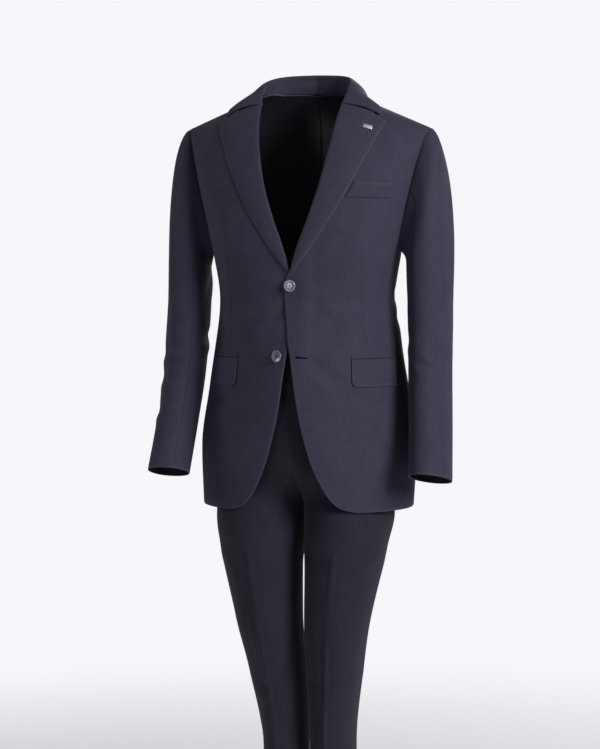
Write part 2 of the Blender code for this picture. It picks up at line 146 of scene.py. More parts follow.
def make_studio():
    world = bpy.data.worlds.new("white_studio")
    world.use_nodes = True
    tree = world.node_tree
    sky, end = tree.nodes["Background"], tree.nodes["World Output"]
    sky.inputs["Color"].default_value, sky.inputs["Strength"].default_value = (*SKY, 1.0), SKY_STRENGTH
    seen, ray = tree.nodes.new("ShaderNodeBackground"), tree.nodes.new("ShaderNodeLightPath")
    seen.inputs["Color"].default_value = (*WHITE, 1.0)
    both = tree.nodes.new("ShaderNodeMixShader")
    link(tree, ray.outputs["Is Camera Ray"], both.inputs[0])
    link(tree, sky.outputs[0], both.inputs[1])
    link(tree, seen.outputs[0], both.inputs[2])
    link(tree, both.outputs[0], end.inputs["Surface"])
    bpy.context.scene.world = world
    bpy.context.scene.view_settings.view_transform = "Standard"


make_studio()
for lamp_name, lamp_facts in LAMPS.items():
    make_lamp(lamp_name, *lamp_facts)
print("lamps:", ", ".join(LAMPS))

# %% Camera
AZIMUTH, ELEVATION = math.radians(14), math.radians(4)
DISTANCE = 4.0
AIM_SIDE, AIM_HEIGHT = -0.014, -0.4856
VIEW_HEIGHT = 1.31075     # how much of the suit's height the picture takes in at that distance
SENSOR = 36.0

camera_data = bpy.data.cameras.new("camera")
camera_data.sensor_fit = "VERTICAL"
camera_data.sensor_height = SENSOR
camera_data.lens = SENSOR * DISTANCE / VIEW_HEIGHT
camera = bpy.data.objects.new("camera", camera_data)
aim = Vector((AIM_SIDE * math.cos(AZIMUTH), AIM_SIDE * math.sin(AZIMUTH), AIM_HEIGHT))
away = Vector((math.sin(AZIMUTH) * math.cos(ELEVATION), -math.cos(AZIMUTH) * math.cos(ELEVATION),
               math.sin(ELEVATION)))
camera.location = aim + DISTANCE * away
camera.rotation_euler = (math.pi / 2 - ELEVATION, 0, AZIMUTH)
bpy.context.scene.collection.objects.link(camera)
bpy.context.scene.camera = camera
print("camera at", tuple(round(c, 3) for c in camera.location))

# %% [markdown]
# ## Shader arithmetic
# A weave is a sum of waves and noises, which is awkward to read as a drawing of nodes. So a small
# class wraps a socket and lets Python's own + - * / add the Math nodes, and one method adds any
# other node from its type, its settings and what goes into it.

# %% Sockets that add and multiply
class Socket:
    def __init__(self, finish, output):
        self.finish, self.output = finish, output

    def maths(self, operation, *values):
        return self.finish.add("ShaderNodeMath", {"operation": operation}, dict(enumerate(values)))

    def __add__(self, other):
        return self.maths("ADD", self, other)

    def __sub__(self, other):
        return self.maths("SUBTRACT", self, other)

    def __rsub__(self, other):
        return self.maths("SUBTRACT", other, self)

    def __mul__(self, other):
        return self.maths("MULTIPLY", self, other)

    __radd__ = __add__
    __rmul__ = __mul__

    def sine(self):
        return self.maths("SINE", self)


class Finish:
    """A material that is built up round one Principled shader."""

    def __init__(self, name):
        self.material = bpy.data.materials.new(name)
        self.material.use_nodes = True
        self.nodes = self.material.node_tree.nodes
        self.shader = self.nodes["Principled BSDF"]

    def add(self, kind, settings, sockets, output=0):
        node = self.nodes.new(kind)
        for name, value in settings.items():
            setattr(node, name, value)
        for name, value in sockets.items():
            if isinstance(value, Socket):
                self.material.node_tree.links.new(value.output, node.inputs[name])
            else:
                node.inputs[name].default_value = value
        return Socket(self, node.outputs[output])

    def set(self, **values):
        for name, value in values.items():
            self.shader.inputs[name.replace("_", " ")].default_value = value

    def feed(self, name, value):
        self.material.node_tree.links.new(value.output, self.shader.inputs[name])

    def blend(self, share, first, last):
        """A colour between two colours."""
        return self.add("ShaderNodeMix", {"data_type": "RGBA"}, {0: share, 6: first, 7: last}, 2)

    def noise(self, where, scale, detail=3.0):
        return self.add("ShaderNodeTexNoise", {}, {"Vector": where, "Scale": scale, "Detail": detail})

    def stretched(self, where, scale):
        return self.add("ShaderNodeMapping", {}, {"Vector": where, "Scale": scale})

    def feed_bump(self, height, distance, strength):
        sockets = {"Height": height, "Distance": distance, "Strength": strength}
        self.feed("Normal", self.add("ShaderNodeBump", {}, sockets))


print("shader arithmetic ready")

# %% [markdown]
# ## Wool
# The cloth is a fine worsted in dark navy. Each thread is a little lighter or darker than the
# next, along and across the piece, and the two sets cross in a low twill. The threads follow each
# piece's own UV map, measured in metres along the cloth, so the grain bends with the piece. A
# pressed edge is made paler in colour, a painted highlight where its rounded edge catches light,
# and an attribute on the mesh says where the edges are.

# %% Wool finishes
THREAD = 0.0009           # pitch of the twill's ribs, metres
WOOL_DARK, WOOL_PALE = (0.0220, 0.0198, 0.0380, 1), (0.0500, 0.0458, 0.0740, 1)
# The trousers are the jacket's own cloth. Their colours are darker only as painted shade, for the lower
# part of the suit that the lamps light less.
TROUSER_SHADED_DARK, TROUSER_SHADED_PALE = (0.0100, 0.0090, 0.0170, 1), (0.0240, 0.0218, 0.0350, 1)
# Colour of the pressed edges: a painted highlight where the rounded edge catches light.
EDGE_HIGHLIGHT_PALE = (0.068, 0.063, 0.090, 1)


def wool(name, dark, pale):
    cloth = Finish(name)
    uv = cloth.add("ShaderNodeUVMap", {"uv_map": "cloth"}, {})
    warp = cloth.noise(cloth.stretched(uv, (1.0, 0.06, 1.0)), 650.0)
    weft = cloth.noise(cloth.stretched(uv, (0.06, 1.0, 1.0)), 650.0)
    cloud = cloth.noise(uv, 26.0, 4.0)
    slope = cloth.add("ShaderNodeVectorMath", {"operation": "DOT_PRODUCT"},
                      {0: uv, 1: (2 * math.pi / THREAD, 1.3 * math.pi / THREAD, 0)}, "Value")
    rib = slope.sine() * 0.5 + 0.5
    shade = warp * 0.85 + weft * 0.75 + cloud * 0.45 + rib * 0.12 - 0.62
    # The band along pressed edges is blended towards a paler colour: a painted highlight, not wear.
    edge = cloth.add("ShaderNodeAttribute", {"attribute_name": "pressed"}, {}, "Fac")
    colour = cloth.blend(edge * 0.40, cloth.blend(shade, dark, pale), EDGE_HIGHLIGHT_PALE)
    cloth.feed("Base Color", colour)
    cloth.feed("Roughness", 0.92 - warp * 0.14 - edge * 0.10)
    cloth.set(Sheen_Weight=0.12, Sheen_Roughness=0.45, Sheen_Tint=(0.62, 0.62, 0.80, 1),
              Specular_IOR_Level=0.22)
    cloth.feed_bump(rib * 0.6 + warp * 0.5 + weft * 0.5, 0.00022, 0.55)
    return cloth.material


jacket_wool = wool("jacket_wool", WOOL_DARK, WOOL_PALE)
# The same wool as the jacket, darkened as painted shade.
shaded_trouser_wool = wool("shaded_trouser_wool", TROUSER_SHADED_DARK, TROUSER_SHADED_PALE)
print("wool:", jacket_wool.name, shaded_trouser_wool.name)

# %% [markdown]
# ## Lining, horn, thread and steel
# The inside of a jacket is a smooth twill lining, shinier than the wool. The buttons are grey-blue
# polished horn with pale clouds in it, sewn on with matching thread.
# The buttonholes are worked in a darker thread, made almost black as painted shade for the shadow in the
# slit. The pin is brushed steel.

# %% Lining, horn, thread and steel finishes
def lining():
    silk = Finish("dark_lining")
    uv = silk.add("ShaderNodeUVMap", {"uv_map": "cloth"}, {})
    thread = silk.noise(silk.stretched(uv, (1.0, 0.04, 1.0)), 500.0)
    cloud = silk.noise(uv, 18.0)
    silk.feed("Base Color", silk.blend(thread * 0.5 + cloud * 0.5, (0.010, 0.010, 0.016, 1),
                                       (0.024, 0.024, 0.036, 1)))
    silk.feed("Roughness", 0.38 + thread * 0.18)
    silk.set(Specular_IOR_Level=0.35)
    silk.feed_bump(thread, 0.0001, 0.4)
    return silk.material


def horn():
    polished = Finish("dark_horn")
    place = polished.add("ShaderNodeTexCoord", {}, {}, "Object")
    cloud = polished.noise(polished.stretched(place, (1.0, 1.0, 2.6)), 130.0, 5.0)
    polished.feed("Base Color", polished.blend(cloud, (0.050, 0.056, 0.085, 1), (0.260, 0.275, 0.340, 1)))
    polished.feed("Roughness", 0.12 + cloud * 0.12)
    polished.set(Coat_Weight=0.8, Coat_Roughness=0.06, IOR=1.56)
    return polished.material


def thread(name, dark, pale, gloss):
    twist = Finish(name)
    place = twist.add("ShaderNodeTexCoord", {}, {}, "Object")
    strand = twist.noise(place, 1800.0)
    twist.feed("Base Color", twist.blend(strand, dark, pale))
    twist.feed("Roughness", 0.55 + strand * 0.2)
    twist.set(Specular_IOR_Level=gloss)
    twist.feed_bump(strand, 0.0001, 0.6)
    return twist.material


def steel():
    bar = Finish("pin_steel")
    place = bar.add("ShaderNodeTexCoord", {}, {}, "Object")
    grain = bar.noise(bar.stretched(place, (0.05, 1.0, 1.0)), 4200.0)
    bar.feed("Base Color", bar.blend(grain, (0.82, 0.82, 0.84, 1), (0.94, 0.94, 0.95, 1)))
    bar.feed("Roughness", 0.34 + grain * 0.20)
    bar.set(Metallic=1.0)
    bar.feed_bump(grain, 0.00005, 0.3)
    return bar.material


dark_lining, dark_horn, pin_steel = lining(), horn(), steel()
sewing_thread = thread("sewing_thread", (0.008, 0.008, 0.014, 1), (0.032, 0.032, 0.048, 1), 0.5)
# Almost black: the buttonholes' thread, darkened as painted shade for the shadow inside the slit.
buttonhole_thread_and_slit_shade = thread("buttonhole_thread_and_slit_shade", (0.001, 0.001, 0.002, 1), (0.005, 0.005, 0.008, 1), 0.05)
print("finishes:", ", ".join(m.name for m in (dark_lining, dark_horn, pin_steel, sewing_thread)))

# %% [markdown]
# ## The body's form
# The jacket is one smooth shape cut into panels, so one function gives every point of it: an
# angle round the body and a level from hem to shoulder. Its sizes are a few rings. Drawing the
# rings by hand as curves would work too, but a formula can be sampled as finely as a panel needs.

# %% Sizes of the jacket's body
SEAM = 0.0006         # clearance between a sleeve and the armhole
LAP = 0.0042          # how far the left front stands forward where it closes over the right
HEM_Z = -0.7125       # jacket hem
ARM_Z = -0.268        # underarm
SHOULDER_HALF = 0.2155
SHOULDER_Y = 0.005
NECK_HALF = 0.0865
NECK_Z = -0.003
SHOULDER_SLOPE = 0.425
NECK_ROUND = 0.02     # how soon the back of the shoulder line turns down over the neck
CHEST_SQUARE = 0.80   # 1 is an ellipse, less is boxier, more is rounder
BACK_SQUARE = 0.85
FRONT_FULLNESS = 2.3  # 2 rises to the shoulder as an ellipse, more stays upright for longer
BACK_FULLNESS = 6.5
SIDE_FULLNESS = 3.5   # how much of the back's fullness is gone at the sides
SEAM_ROWS = 12        # points of the side seams' curves
ARMHOLE_ROWS = 8      # and of the armhole's

# Jacket body: height, half width, depth to the front, depth to the back, squareness.
BODY = [
    (-0.7125, 0.1860, 0.141, 0.128, 1.02),
    (-0.610, 0.1910, 0.149, 0.133, 1.17),
    (-0.500, 0.1765, 0.148, 0.118, 1.30),
    (-0.430, 0.1660, 0.141, 0.099, 1.25),
    (-0.3465, 0.154, 0.124, 0.088, 0.90),
    (-0.268, 0.164, 0.131, 0.106, 0.80),
]
# Front edge, roll line and neckline of the left front, from the hem up: x, z.
FRONT_EDGE = [
    (0.112, -0.7125), (0.087, -0.705), (0.069, -0.688), (0.0505, -0.655), (0.0353, -0.615),
    (0.021, -0.560), (0.011, -0.500), (0.0045, -0.455), (-0.003, -0.400), (-0.0095, -0.350),
    (-0.0095, -0.325), (-0.002, -0.303), (0.007, -0.282), (0.018, -0.249), (0.030, -0.217),
    (0.049, -0.157), (0.060, -0.107), (0.0665, -0.070), (0.0700, -0.040), (0.0740, -0.016),
    (0.0865, -0.003),
]
# Armhole: turn (-90 underarm, 0 front, 90 shoulder), angle round the body, level.
ARMHOLE_FRONT = [
    (-90, 90, 0.0), (-76, 84.5, 0.03), (-60, 80.8, 0.10), (-30, 77.5, 0.30), (0, 77.0, 0.50),
    (30, 78.0, 0.68), (60, 81.0, 0.86), (90, 85.0, 1.0),
]
ARMHOLE_BACK = [
    (90, 95.0, 1.0), (120, 100, 0.86), (150, 106, 0.68), (180, 110, 0.47), (210, 108, 0.27),
    (240, 101, 0.10), (256, 95.5, 0.03), (270, 90, 0.0),
]
SIDE_TURN = -60       # where the front's side seam meets the armhole
BACK_TURN = 210       # where the back's side seam meets it
BACK_SHOULDER = 90.01  # the shoulder point, as the back's end of the armhole
SIDE_HEM_ANGLE = 73
BACK_HEM_ANGLE = 108
NAPE = (180, 0.742)   # angle and level of the back neck point
NECK_SHARE = 0.62     # share of the back's top edge that is shoulder seam, and not neck
LAP_HEIGHTS = (-0.47, -0.235)
LAP_EDGE = 0.045      # how far the lap reaches past the middle
LAP_FADE = (0.025, 0.05)

# %% Smooth curves through a few sizes
def slope(keys, index, column):
    """Slope of a column of keys, level at its crests and straight at its ends."""
    def secant(i):
        return (keys[i + 1][column] - keys[i][column]) / (keys[i + 1][0] - keys[i][0])

    if index == 0:
        return secant(0)
    if index == len(keys) - 1:
        return secant(index - 1)
    before, after = secant(index - 1), secant(index)
    if before * after <= 0:
        return 0.0
    return 2 * before * after / (before + after)


def smooth(keys, place):
    """Values at a place on the even curve through keys, each (place, value, value, ...)."""
    if place <= keys[0][0]:
        return keys[0][1:]
    if place >= keys[-1][0]:
        return keys[-1][1:]
    index = max(i for i in range(len(keys) - 1) if keys[i][0] <= place)
    start, end = keys[index], keys[index + 1]
    span = end[0] - start[0]
    part = (place - start[0]) / span
    values = []
    for column in range(1, len(start)):
        first = slope(keys, index, column) * span
        last = slope(keys, index + 1, column) * span
        step = end[column] - start[column]
        cubic = first + last - 2 * step
        square = step - first - cubic
        values.append(start[column] + part * (first + part * (square + part * cubic)))
    return tuple(values)


def power(value, exponent):
    return math.copysign(abs(value) ** exponent, value)


def mix(first, last, share):
    return tuple(a + (b - a) * share for a, b in zip(first, last))


def ease(value):
    """0 to 1 without a kink at either end."""
    value = min(1.0, max(0.0, value))
    return value * value * (3 - 2 * value)


def lengthwise(points, start=0.0, end=1.0):
    """Keys for smooth() of places on the body, by their share of the length between them."""
    spots = [torso(*point) for point in points]
    length = [0.0]
    for before, after in zip(spots, spots[1:]):
        length.append(length[-1] + (after - before).length)
    return [(start + (end - start) * run / length[-1], *point) for run, point in zip(length, points)]

# %% Body form
def shoulder_height(x):
    """Height of the shoulder line, carried on over the neck for the back."""
    return NECK_Z + SHOULDER_SLOPE * (math.hypot(NECK_HALF, NECK_ROUND) - math.hypot(x, NECK_ROUND))


def torso(angle, level):
    """Jacket body: angle 0 centre front to 180 centre back, level -1 hem, 0 underarm, 1 shoulder."""
    turn = math.radians(angle)
    sine, cosine = math.sin(turn), math.cos(turn)
    z = ARM_Z + min(level, 0.0) * (ARM_Z - HEM_Z)
    half, front, back, square = smooth(BODY, z)
    depth = front
    if cosine < 0:
        square, depth = BACK_SQUARE, back
    across, along = power(sine, square), power(cosine, square)
    if level <= 0:
        return Vector((half * across, -depth * along, z))
    climb = math.radians(90 * level)
    lifted = math.sin(climb)
    fullness = FRONT_FULLNESS if cosine > 0 else BACK_FULLNESS - SIDE_FULLNESS * abs(across)
    fall = math.copysign(math.sqrt(1 - lifted ** fullness), math.cos(climb))
    half += (SHOULDER_HALF - half) * lifted
    top = shoulder_height(SHOULDER_HALF * across)
    y = SHOULDER_Y - (SHOULDER_Y + depth * along) * fall
    return Vector((half * across, y, z + (top - z) * lifted))


def front_place(x, z):
    """Angle and level of the point of the front at x and z."""
    if z <= ARM_Z:
        half, _, _, square = smooth(BODY, z)
        across = x / half
        level = (z - ARM_Z) / (ARM_Z - HEM_Z)
    else:
        square, across = CHEST_SQUARE, x / SHOULDER_HALF
        underarm = BODY[-1][1]
        for _ in range(12):
            lifted = min(1.0, (z - ARM_Z) / (shoulder_height(SHOULDER_HALF * across) - ARM_Z))
            across = x / (underarm + (SHOULDER_HALF - underarm) * lifted)
        level = math.degrees(math.asin(lifted)) / 90
    across = max(-1.0, min(1.0, across))
    return math.degrees(math.asin(power(across, 1 / square))), level


def lap(point):
    """How far the closed left front stands forward of the right one."""
    across, along = LAP_FADE
    low, high = (point.z - LAP_HEIGHTS[0]) / along, (LAP_HEIGHTS[1] - point.z) / along
    return LAP * ease((LAP_EDGE - point.x) / across) * ease(low) * ease(high)


print("shoulder point:", tuple(round(c, 3) for c in torso(90, 1)))

# %% [markdown]
# ## Panels
# A tailor cuts a front, a side and a back for each half. Each is the stretch of the body's form
# inside four edges, blended across from edge to edge, so that neighbours share one seam line.

# %% Body panels
# A seam's margin goes on under the sleeve: towards the armhole's middle, by a share of the way.
ARMHOLE_MIDDLE, MARGIN = (92, 0.5), 0.12
MARGIN_START = 0.985              # share of a panel's width from which it is margin
MARGIN_UP, MARGIN_FADE = 0.592, 0.012    # it begins this far up an edge, at the side seam's top


def margin(across, up=1.0):
    """How much of the seam's margin a place has: across is 1 at the armhole, and so is up."""
    part = ease((across - MARGIN_START) / (1 - MARGIN_START))
    return MARGIN * part * ease((up - MARGIN_UP) / MARGIN_FADE)


def panel(left, right, lower, upper, margin_at):
    """Surface of a body panel inside four edges, each an angle and level by share of length."""
    def surface(u, v):
        ruled = mix(left(v), right(v), u)
        crossed = mix(lower(u), upper(u), v)
        corners = mix(mix(lower(0), lower(1), u), mix(upper(0), upper(1), u), v)
        place = tuple(a + b - c for a, b, c in zip(ruled, crossed, corners))
        return torso(*mix(place, ARMHOLE_MIDDLE, margin_at(u, v)))
    return surface


def armhole(turn):
    """Angle and level of the armhole: -90 underarm, 0 front, 90 shoulder, 180 back."""
    turn = (turn + 90) % 360 - 90
    return smooth(ARMHOLE_FRONT if turn <= 90 else ARMHOLE_BACK, turn)


def outer_edge(hem_angle, meeting, shoulder):
    """Keys of a panel's edge up its side seam and then up the armhole to the shoulder."""
    corner = armhole(meeting)
    seam = [mix((hem_angle, -1.0), corner, step / SEAM_ROWS) for step in range(SEAM_ROWS + 1)]
    turns = [meeting + (shoulder - meeting) * step / ARMHOLE_ROWS for step in range(ARMHOLE_ROWS + 1)]
    share = SEAM_ROWS / (SEAM_ROWS + ARMHOLE_ROWS)
    return lengthwise(seam, 0.0, share)[:-1] + lengthwise([armhole(t) for t in turns], share, 1.0)


def front_panel():
    edge = lengthwise([front_place(*point) for point in FRONT_EDGE])
    outer = outer_edge(SIDE_HEM_ANGLE, SIDE_TURN, 90)
    hem, neck = edge[0][1:], edge[-1][1:]
    return panel(lambda v: smooth(edge, v), lambda v: smooth(outer, v),
                 lambda u: mix(hem, (SIDE_HEM_ANGLE, -1.0), u), lambda u: mix(neck, armhole(90), u),
                 lambda u, v: margin(u, v))


def side_panel():
    front, back = (SIDE_HEM_ANGLE, -1.0), (BACK_HEM_ANGLE, -1.0)
    sweep = 360 + SIDE_TURN - BACK_TURN
    return panel(lambda v: mix(front, armhole(SIDE_TURN), v), lambda v: mix(back, armhole(BACK_TURN), v),
                 lambda u: mix(front, back, u), lambda u: armhole(SIDE_TURN - sweep * u),
                 lambda u, v: margin(v))


def back_panel():
    outer = outer_edge(BACK_HEM_ANGLE, BACK_TURN, BACK_SHOULDER)
    neck = 180 - math.degrees(math.asin((NECK_HALF / SHOULDER_HALF) ** (1 / BACK_SQUARE)))
    scoop = ((1 + NECK_SHARE) / 2, (neck + NAPE[0]) / 2, 0.84)
    top = [(0.0, *armhole(BACK_SHOULDER)), (NECK_SHARE, neck, 1.0), scoop, (1.0, *NAPE)]
    return panel(lambda v: smooth(outer, v), lambda v: mix((180.0, -1.0), NAPE, v),
                 lambda u: mix((BACK_HEM_ANGLE, -1.0), (180.0, -1.0), u), lambda u: smooth(top, u),
                 lambda u, v: margin(1 - u, v))


print("armhole, lowest point:", armhole(-90))

# %% [markdown]
# ## Sleeves
# A sleeve is a tube in two halves. Its cap leaves the armhole outwards and turns down in one even
# curve to the upper arm, and below the elbow it swings forward, as an arm hangs.

# %% Sleeve form
# Sleeve below the cap: share of its length, centre x, y, z, half width, half depth.
ARM = [
    (0.00, 0.2150, 0.006, -0.300, 0.0370, 0.0680),
    (0.25, 0.2170, 0.003, -0.390, 0.0360, 0.0640),
    (0.50, 0.2200, -0.012, -0.480, 0.0350, 0.0610),
    (0.75, 0.2265, -0.040, -0.570, 0.0350, 0.0590),
    (1.00, 0.2325, -0.074, -0.655, 0.0350, 0.0570),
]
TOE_IN = math.radians(5)
SLEEVE_SQUARE = 0.95
CUFF_TILT = 0.25      # how much lower the back of the cuff hangs, per metre of depth
CAP_SHARE = 0.36      # share of a sleeve's rows that shape its cap
CAP_AWAY = Vector((0.55, -0.42, -0.62))     # the way the cap leaves the armhole: out, forward, down
CAP_TOP = Vector((0.40, 0.0, 0.22))         # what is added to that at the shoulder
CAP_BEND = (0.30, -0.18)                    # the curve's pull at the armhole, and its change at the top
CAP_LEAD = (0.35, 0.17)                     # and its pull at the upper arm
UPPER_SEAM, UNDER_SEAM = -28, 176


def sleeve_ring(turn, share):
    """Point of the sleeve below its cap."""
    x, y, z, half, depth = smooth(ARM, share)
    angle = math.radians(turn)
    out = half * power(math.sin(angle), SLEEVE_SQUARE)
    back = -depth * power(math.cos(angle), SLEEVE_SQUARE)
    z -= CUFF_TILT * max(share, 0.0) ** 4 * back
    return Vector((x + out * math.cos(TOE_IN) + back * math.sin(TOE_IN),
                   y - out * math.sin(TOE_IN) + back * math.cos(TOE_IN), z))


def sleeve_point(turn, share):
    """Point of the sleeve: share 0 at the armhole, CAP_SHARE at the upper arm, 1 at the cuff."""
    if share >= CAP_SHARE:
        return sleeve_ring(turn, (share - CAP_SHARE) / (1 - CAP_SHARE))
    angle = math.radians(turn)
    top = max(0.0, math.sin(angle))
    start, end = torso(*armhole(turn)), sleeve_ring(turn, 0.0)
    away = CAP_AWAY + CAP_TOP * top
    away.y *= math.cos(angle)
    away.normalize()
    start = start + away * SEAM
    reach = (end - start).length
    bend = start + away * reach * (CAP_BEND[0] + CAP_BEND[1] * top)
    above = (end - sleeve_ring(turn, 0.02)).normalized()
    lead = end + above * reach * (CAP_LEAD[0] + CAP_LEAD[1] * top)
    t = max(share, 0.0) / CAP_SHARE
    return ((1 - t) ** 3 * start + 3 * t * (1 - t) ** 2 * bend + 3 * t * t * (1 - t) * lead
            + t ** 3 * end)


def sleeve(first, last):
    """Surface of the stretch of a sleeve between two turns."""
    return lambda u, v: sleeve_point(first + (last - first) * u, 1 - v)


print("cuff:", tuple(round(c, 3) for c in sleeve_ring(90, 1)))

# %% [markdown]
# ## Lapels, collar and pockets
# These lie on the fronts, so they are stretches of the same form, given by their corners, and are
# lifted off it later. The collar is a band round the neck between a fold line and a falling edge.

# %% Lapel, collar and pocket forms
# Lapel's outer edge, from the top button up to its tip: x, z. Its roll line is the front's.
LAPEL_EDGE = [
    (0.008, -0.300), (0.018, -0.287), (0.037, -0.262), (0.060, -0.226), (0.084, -0.186),
    (0.102, -0.151), (0.121, -0.110), (0.137, -0.074), (0.148, -0.049),
]
LAPEL_ROLL = [
    (0.002, -0.301), (0.007, -0.282), (0.018, -0.249), (0.030, -0.217), (0.049, -0.157),
    (0.060, -0.107), (0.0665, -0.070), (0.0700, -0.040), (0.0735, -0.020),
]
# Collar from its front end round to the middle of the back: share, x, y, z.
COLLAR_FOLD = [
    (0.00, 0.0735, -0.0510, -0.0155), (0.20, 0.0775, -0.030, 0.003), (0.42, 0.0795, -0.003, 0.021),
    (0.62, 0.068, 0.036, 0.032), (0.80, 0.042, 0.058, 0.0365), (1.00, 0.0, 0.068, 0.038),
]
COLLAR_EDGE = [
    (0.00, 0.1375, -0.0390, -0.0345), (0.10, 0.1365, -0.025, -0.0245), (0.30, 0.109, 0.002, -0.0085),
    (0.48, 0.101, 0.034, -0.0075), (0.76, 0.062, 0.083, -0.018), (1.00, 0.0, 0.0945, -0.022),
]
COLLAR_SEAM = [
    (0.00, 0.0775, -0.033, -0.0075), (0.25, 0.0835, -0.014, -0.0005), (0.45, 0.0862, 0.008, 0.0010),
    (0.72, 0.050, 0.058, 0.0045), (1.00, 0.0, 0.0712, 0.0050),
]
COLLAR_CROWN = 0.004  # how far the turned-down collar is rounded out between its edges
STAND_SHARE = 0.955   # the stand's top edge, as a share of the fold's way out from the neck
STAND_DROP = 0.0035

# Pockets and fastenings, on the front: x, z of the corners (lower inner, lower outer, upper outer,
# upper inner).
WELT = [(0.0925, -0.1765), (0.160, -0.179), (0.161, -0.153), (0.1060, -0.1500)]
JET = [(0.1000, -0.4510), (0.1590, -0.4520), (0.1585, -0.4465), (0.1000, -0.4455)]
FLAP = [(0.1015, -0.4990), (0.1650, -0.5000), (0.1600, -0.4530), (0.1000, -0.4520)]
FLAP_CORNER = (0.12, 0.25)  # shares of the flap's width and height that its round corner takes
BUTTON_RADIUS = 0.0103
TOP_BUTTON = (0.0, -0.326)
LOWER_BUTTON = (-0.0175, -0.446)
LOWER_LIFT, LOWER_TILT = 0.0030, math.radians(12)
PIN = (0.1195, -0.0600)
PIN_SIZE = (0.016, 0.0075, 0.0015)
PIN_SLANT = math.radians(-18)


def laid_on(corners, rounding=(1.0, 0.0)):
    """Surface of a piece on the front inside four corners given by x and z."""
    def surface(u, v):
        beside = 1 - min(max(u / rounding[0], 0.0), 1.0)
        v += (1 - v) * rounding[1] * (1 - math.sqrt(1 - beside * beside))
        x, z = mix(mix(corners[0], corners[1], u), mix(corners[3], corners[2], u), v)
        return torso(*front_place(x, z))
    return surface


def lapel():
    """Surface of a lapel, from the roll line out to its edge."""
    roll = lengthwise([front_place(*point) for point in LAPEL_ROLL])
    edge = lengthwise([front_place(*point) for point in LAPEL_EDGE])
    return lambda u, v: torso(*mix(smooth(roll, v), smooth(edge, v), u))


def round_the_neck(inner, outer, crown):
    """Surface of a collar piece, from its upper line to its lower and from left to right."""
    def surface(u, v):
        side = 1 if v < 0.5 else -1
        share = 1 - abs(1 - 2 * v)
        point = Vector(mix(smooth(inner, share), smooth(outer, share), u))
        bulge = crown * math.sin(math.pi * min(max(u, 0.0), 1.0))
        point += Vector((point.x, point.y, NECK_HALF)).normalized() * bulge
        point.x *= side
        return point
    return surface


print("lapel tip:", LAPEL_EDGE[-1])

# %% [markdown]
# ## Trousers
# Each leg is a tube that opens into half of the hips. The halves meet in the middle under the seat.

# %% Trouser form
CROTCH_Z = -0.725
SEAT_Z = -0.640
BAND_Z = -0.488       # lower edge of the waistband
BAND_HEIGHT = 0.036
TROUSER_HEM_Z = -1.480

# Trouser legs: height, centre x, y, half width, half depth.
LEG = [
    (-1.480, 0.0480, 0.018, 0.0415, 0.0700), (-1.141, 0.0430, 0.015, 0.0390, 0.0730),
    (-1.000, 0.0520, -0.010, 0.0485, 0.0800), (-0.905, 0.0615, -0.032, 0.0570, 0.0860),
    (-0.780, 0.0755, -0.029, 0.0715, 0.0970), (-0.725, 0.0785, -0.016, 0.0780, 0.1020),
    (-0.452, 0.0785, 0.000, 0.0780, 0.1020),
]
HIP_SQUARE = {True: 1.20, False: 0.95}      # before and behind the side seam
# Trouser top: height, half width, depth to the front, depth to the back.
HIPS = [
    (-0.725, 0.1545, 0.110, 0.118), (-0.640, 0.1660, 0.124, 0.118), (-0.560, 0.1640, 0.126, 0.104),
    (-0.488, 0.1560, 0.124, 0.088), (-0.452, 0.1520, 0.121, 0.082),
]
BAND_SPLIT = 0.15     # degrees that the waistband's ends stay from the middle of the front


def hip_point(wide, deep, quarter, z):
    """Point of the hips: deep is below zero in front."""
    square = HIP_SQUARE[deep < 0]
    return Vector((wide * power(math.sin(quarter), square), deep * power(math.cos(quarter), square), z))


def leg_point(turn, z):
    """Trousers: turn 0 at the inside or the centre front, 90 front, 180 outside, 270 back."""
    angle = math.radians(turn)
    x, y, half, depth = smooth(LEG, z)
    low = Vector((x - half * math.cos(angle), y - depth * math.sin(angle), z))
    wide, front, back = smooth(HIPS, z)
    before = turn <= 180
    quarter = math.radians(turn if before else 360 - turn) / 2
    high = hip_point(wide, -front if before else back, quarter, z)
    return low.lerp(high, ease((z - CROTCH_Z) / (SEAT_Z - CROTCH_Z)))


def leg(first, last):
    """Surface of the front or back half of a leg, up to the waistband."""
    top = BAND_Z

    def surface(u, v):
        point = leg_point(first + (last - first) * u, TROUSER_HEM_Z + (top - TROUSER_HEM_Z) * v)
        point.x = max(point.x, 0.0)
        return point
    return surface


def waistband(u, v):
    turn = BAND_SPLIT + (360 - 2 * BAND_SPLIT) * u
    wide, front, back = smooth(HIPS, BAND_Z + BAND_HEIGHT * v)
    if math.cos(math.radians(turn)) > 0:
        return hip_point(wide, -front, math.radians(turn), BAND_Z + BAND_HEIGHT * v)
    return hip_point(wide, back, math.radians(180 - turn), BAND_Z + BAND_HEIGHT * v)


print("trouser hem:", tuple(round(c, 3) for c in leg_point(90, TROUSER_HEM_Z)))

# %% [markdown]
# ## Creases
# Pressed wool is not quite still: it pulls from the fastened button, breaks softly at the elbow
# and behind the knee, and dips under the pocket. A simulation would find folds of its own, so each
# of these is placed as a soft stroke: a line on the cloth with a width and a height, where
# a trough is below zero. A stroke with a lean has a shallow trough beside its ridge, as a fold has.

# %% Places on the cloth
def front(x, z):
    """A point of the left front."""
    return torso(*front_place(x, z))


def back(angle, z):
    """A point of the left back, by angle and height."""
    return torso(angle, (z - ARM_Z) / (ARM_Z - HEM_Z))


def arm(turn, share):
    return sleeve_point(turn, share)


def shank(turn, z):
    return leg_point(turn, z)

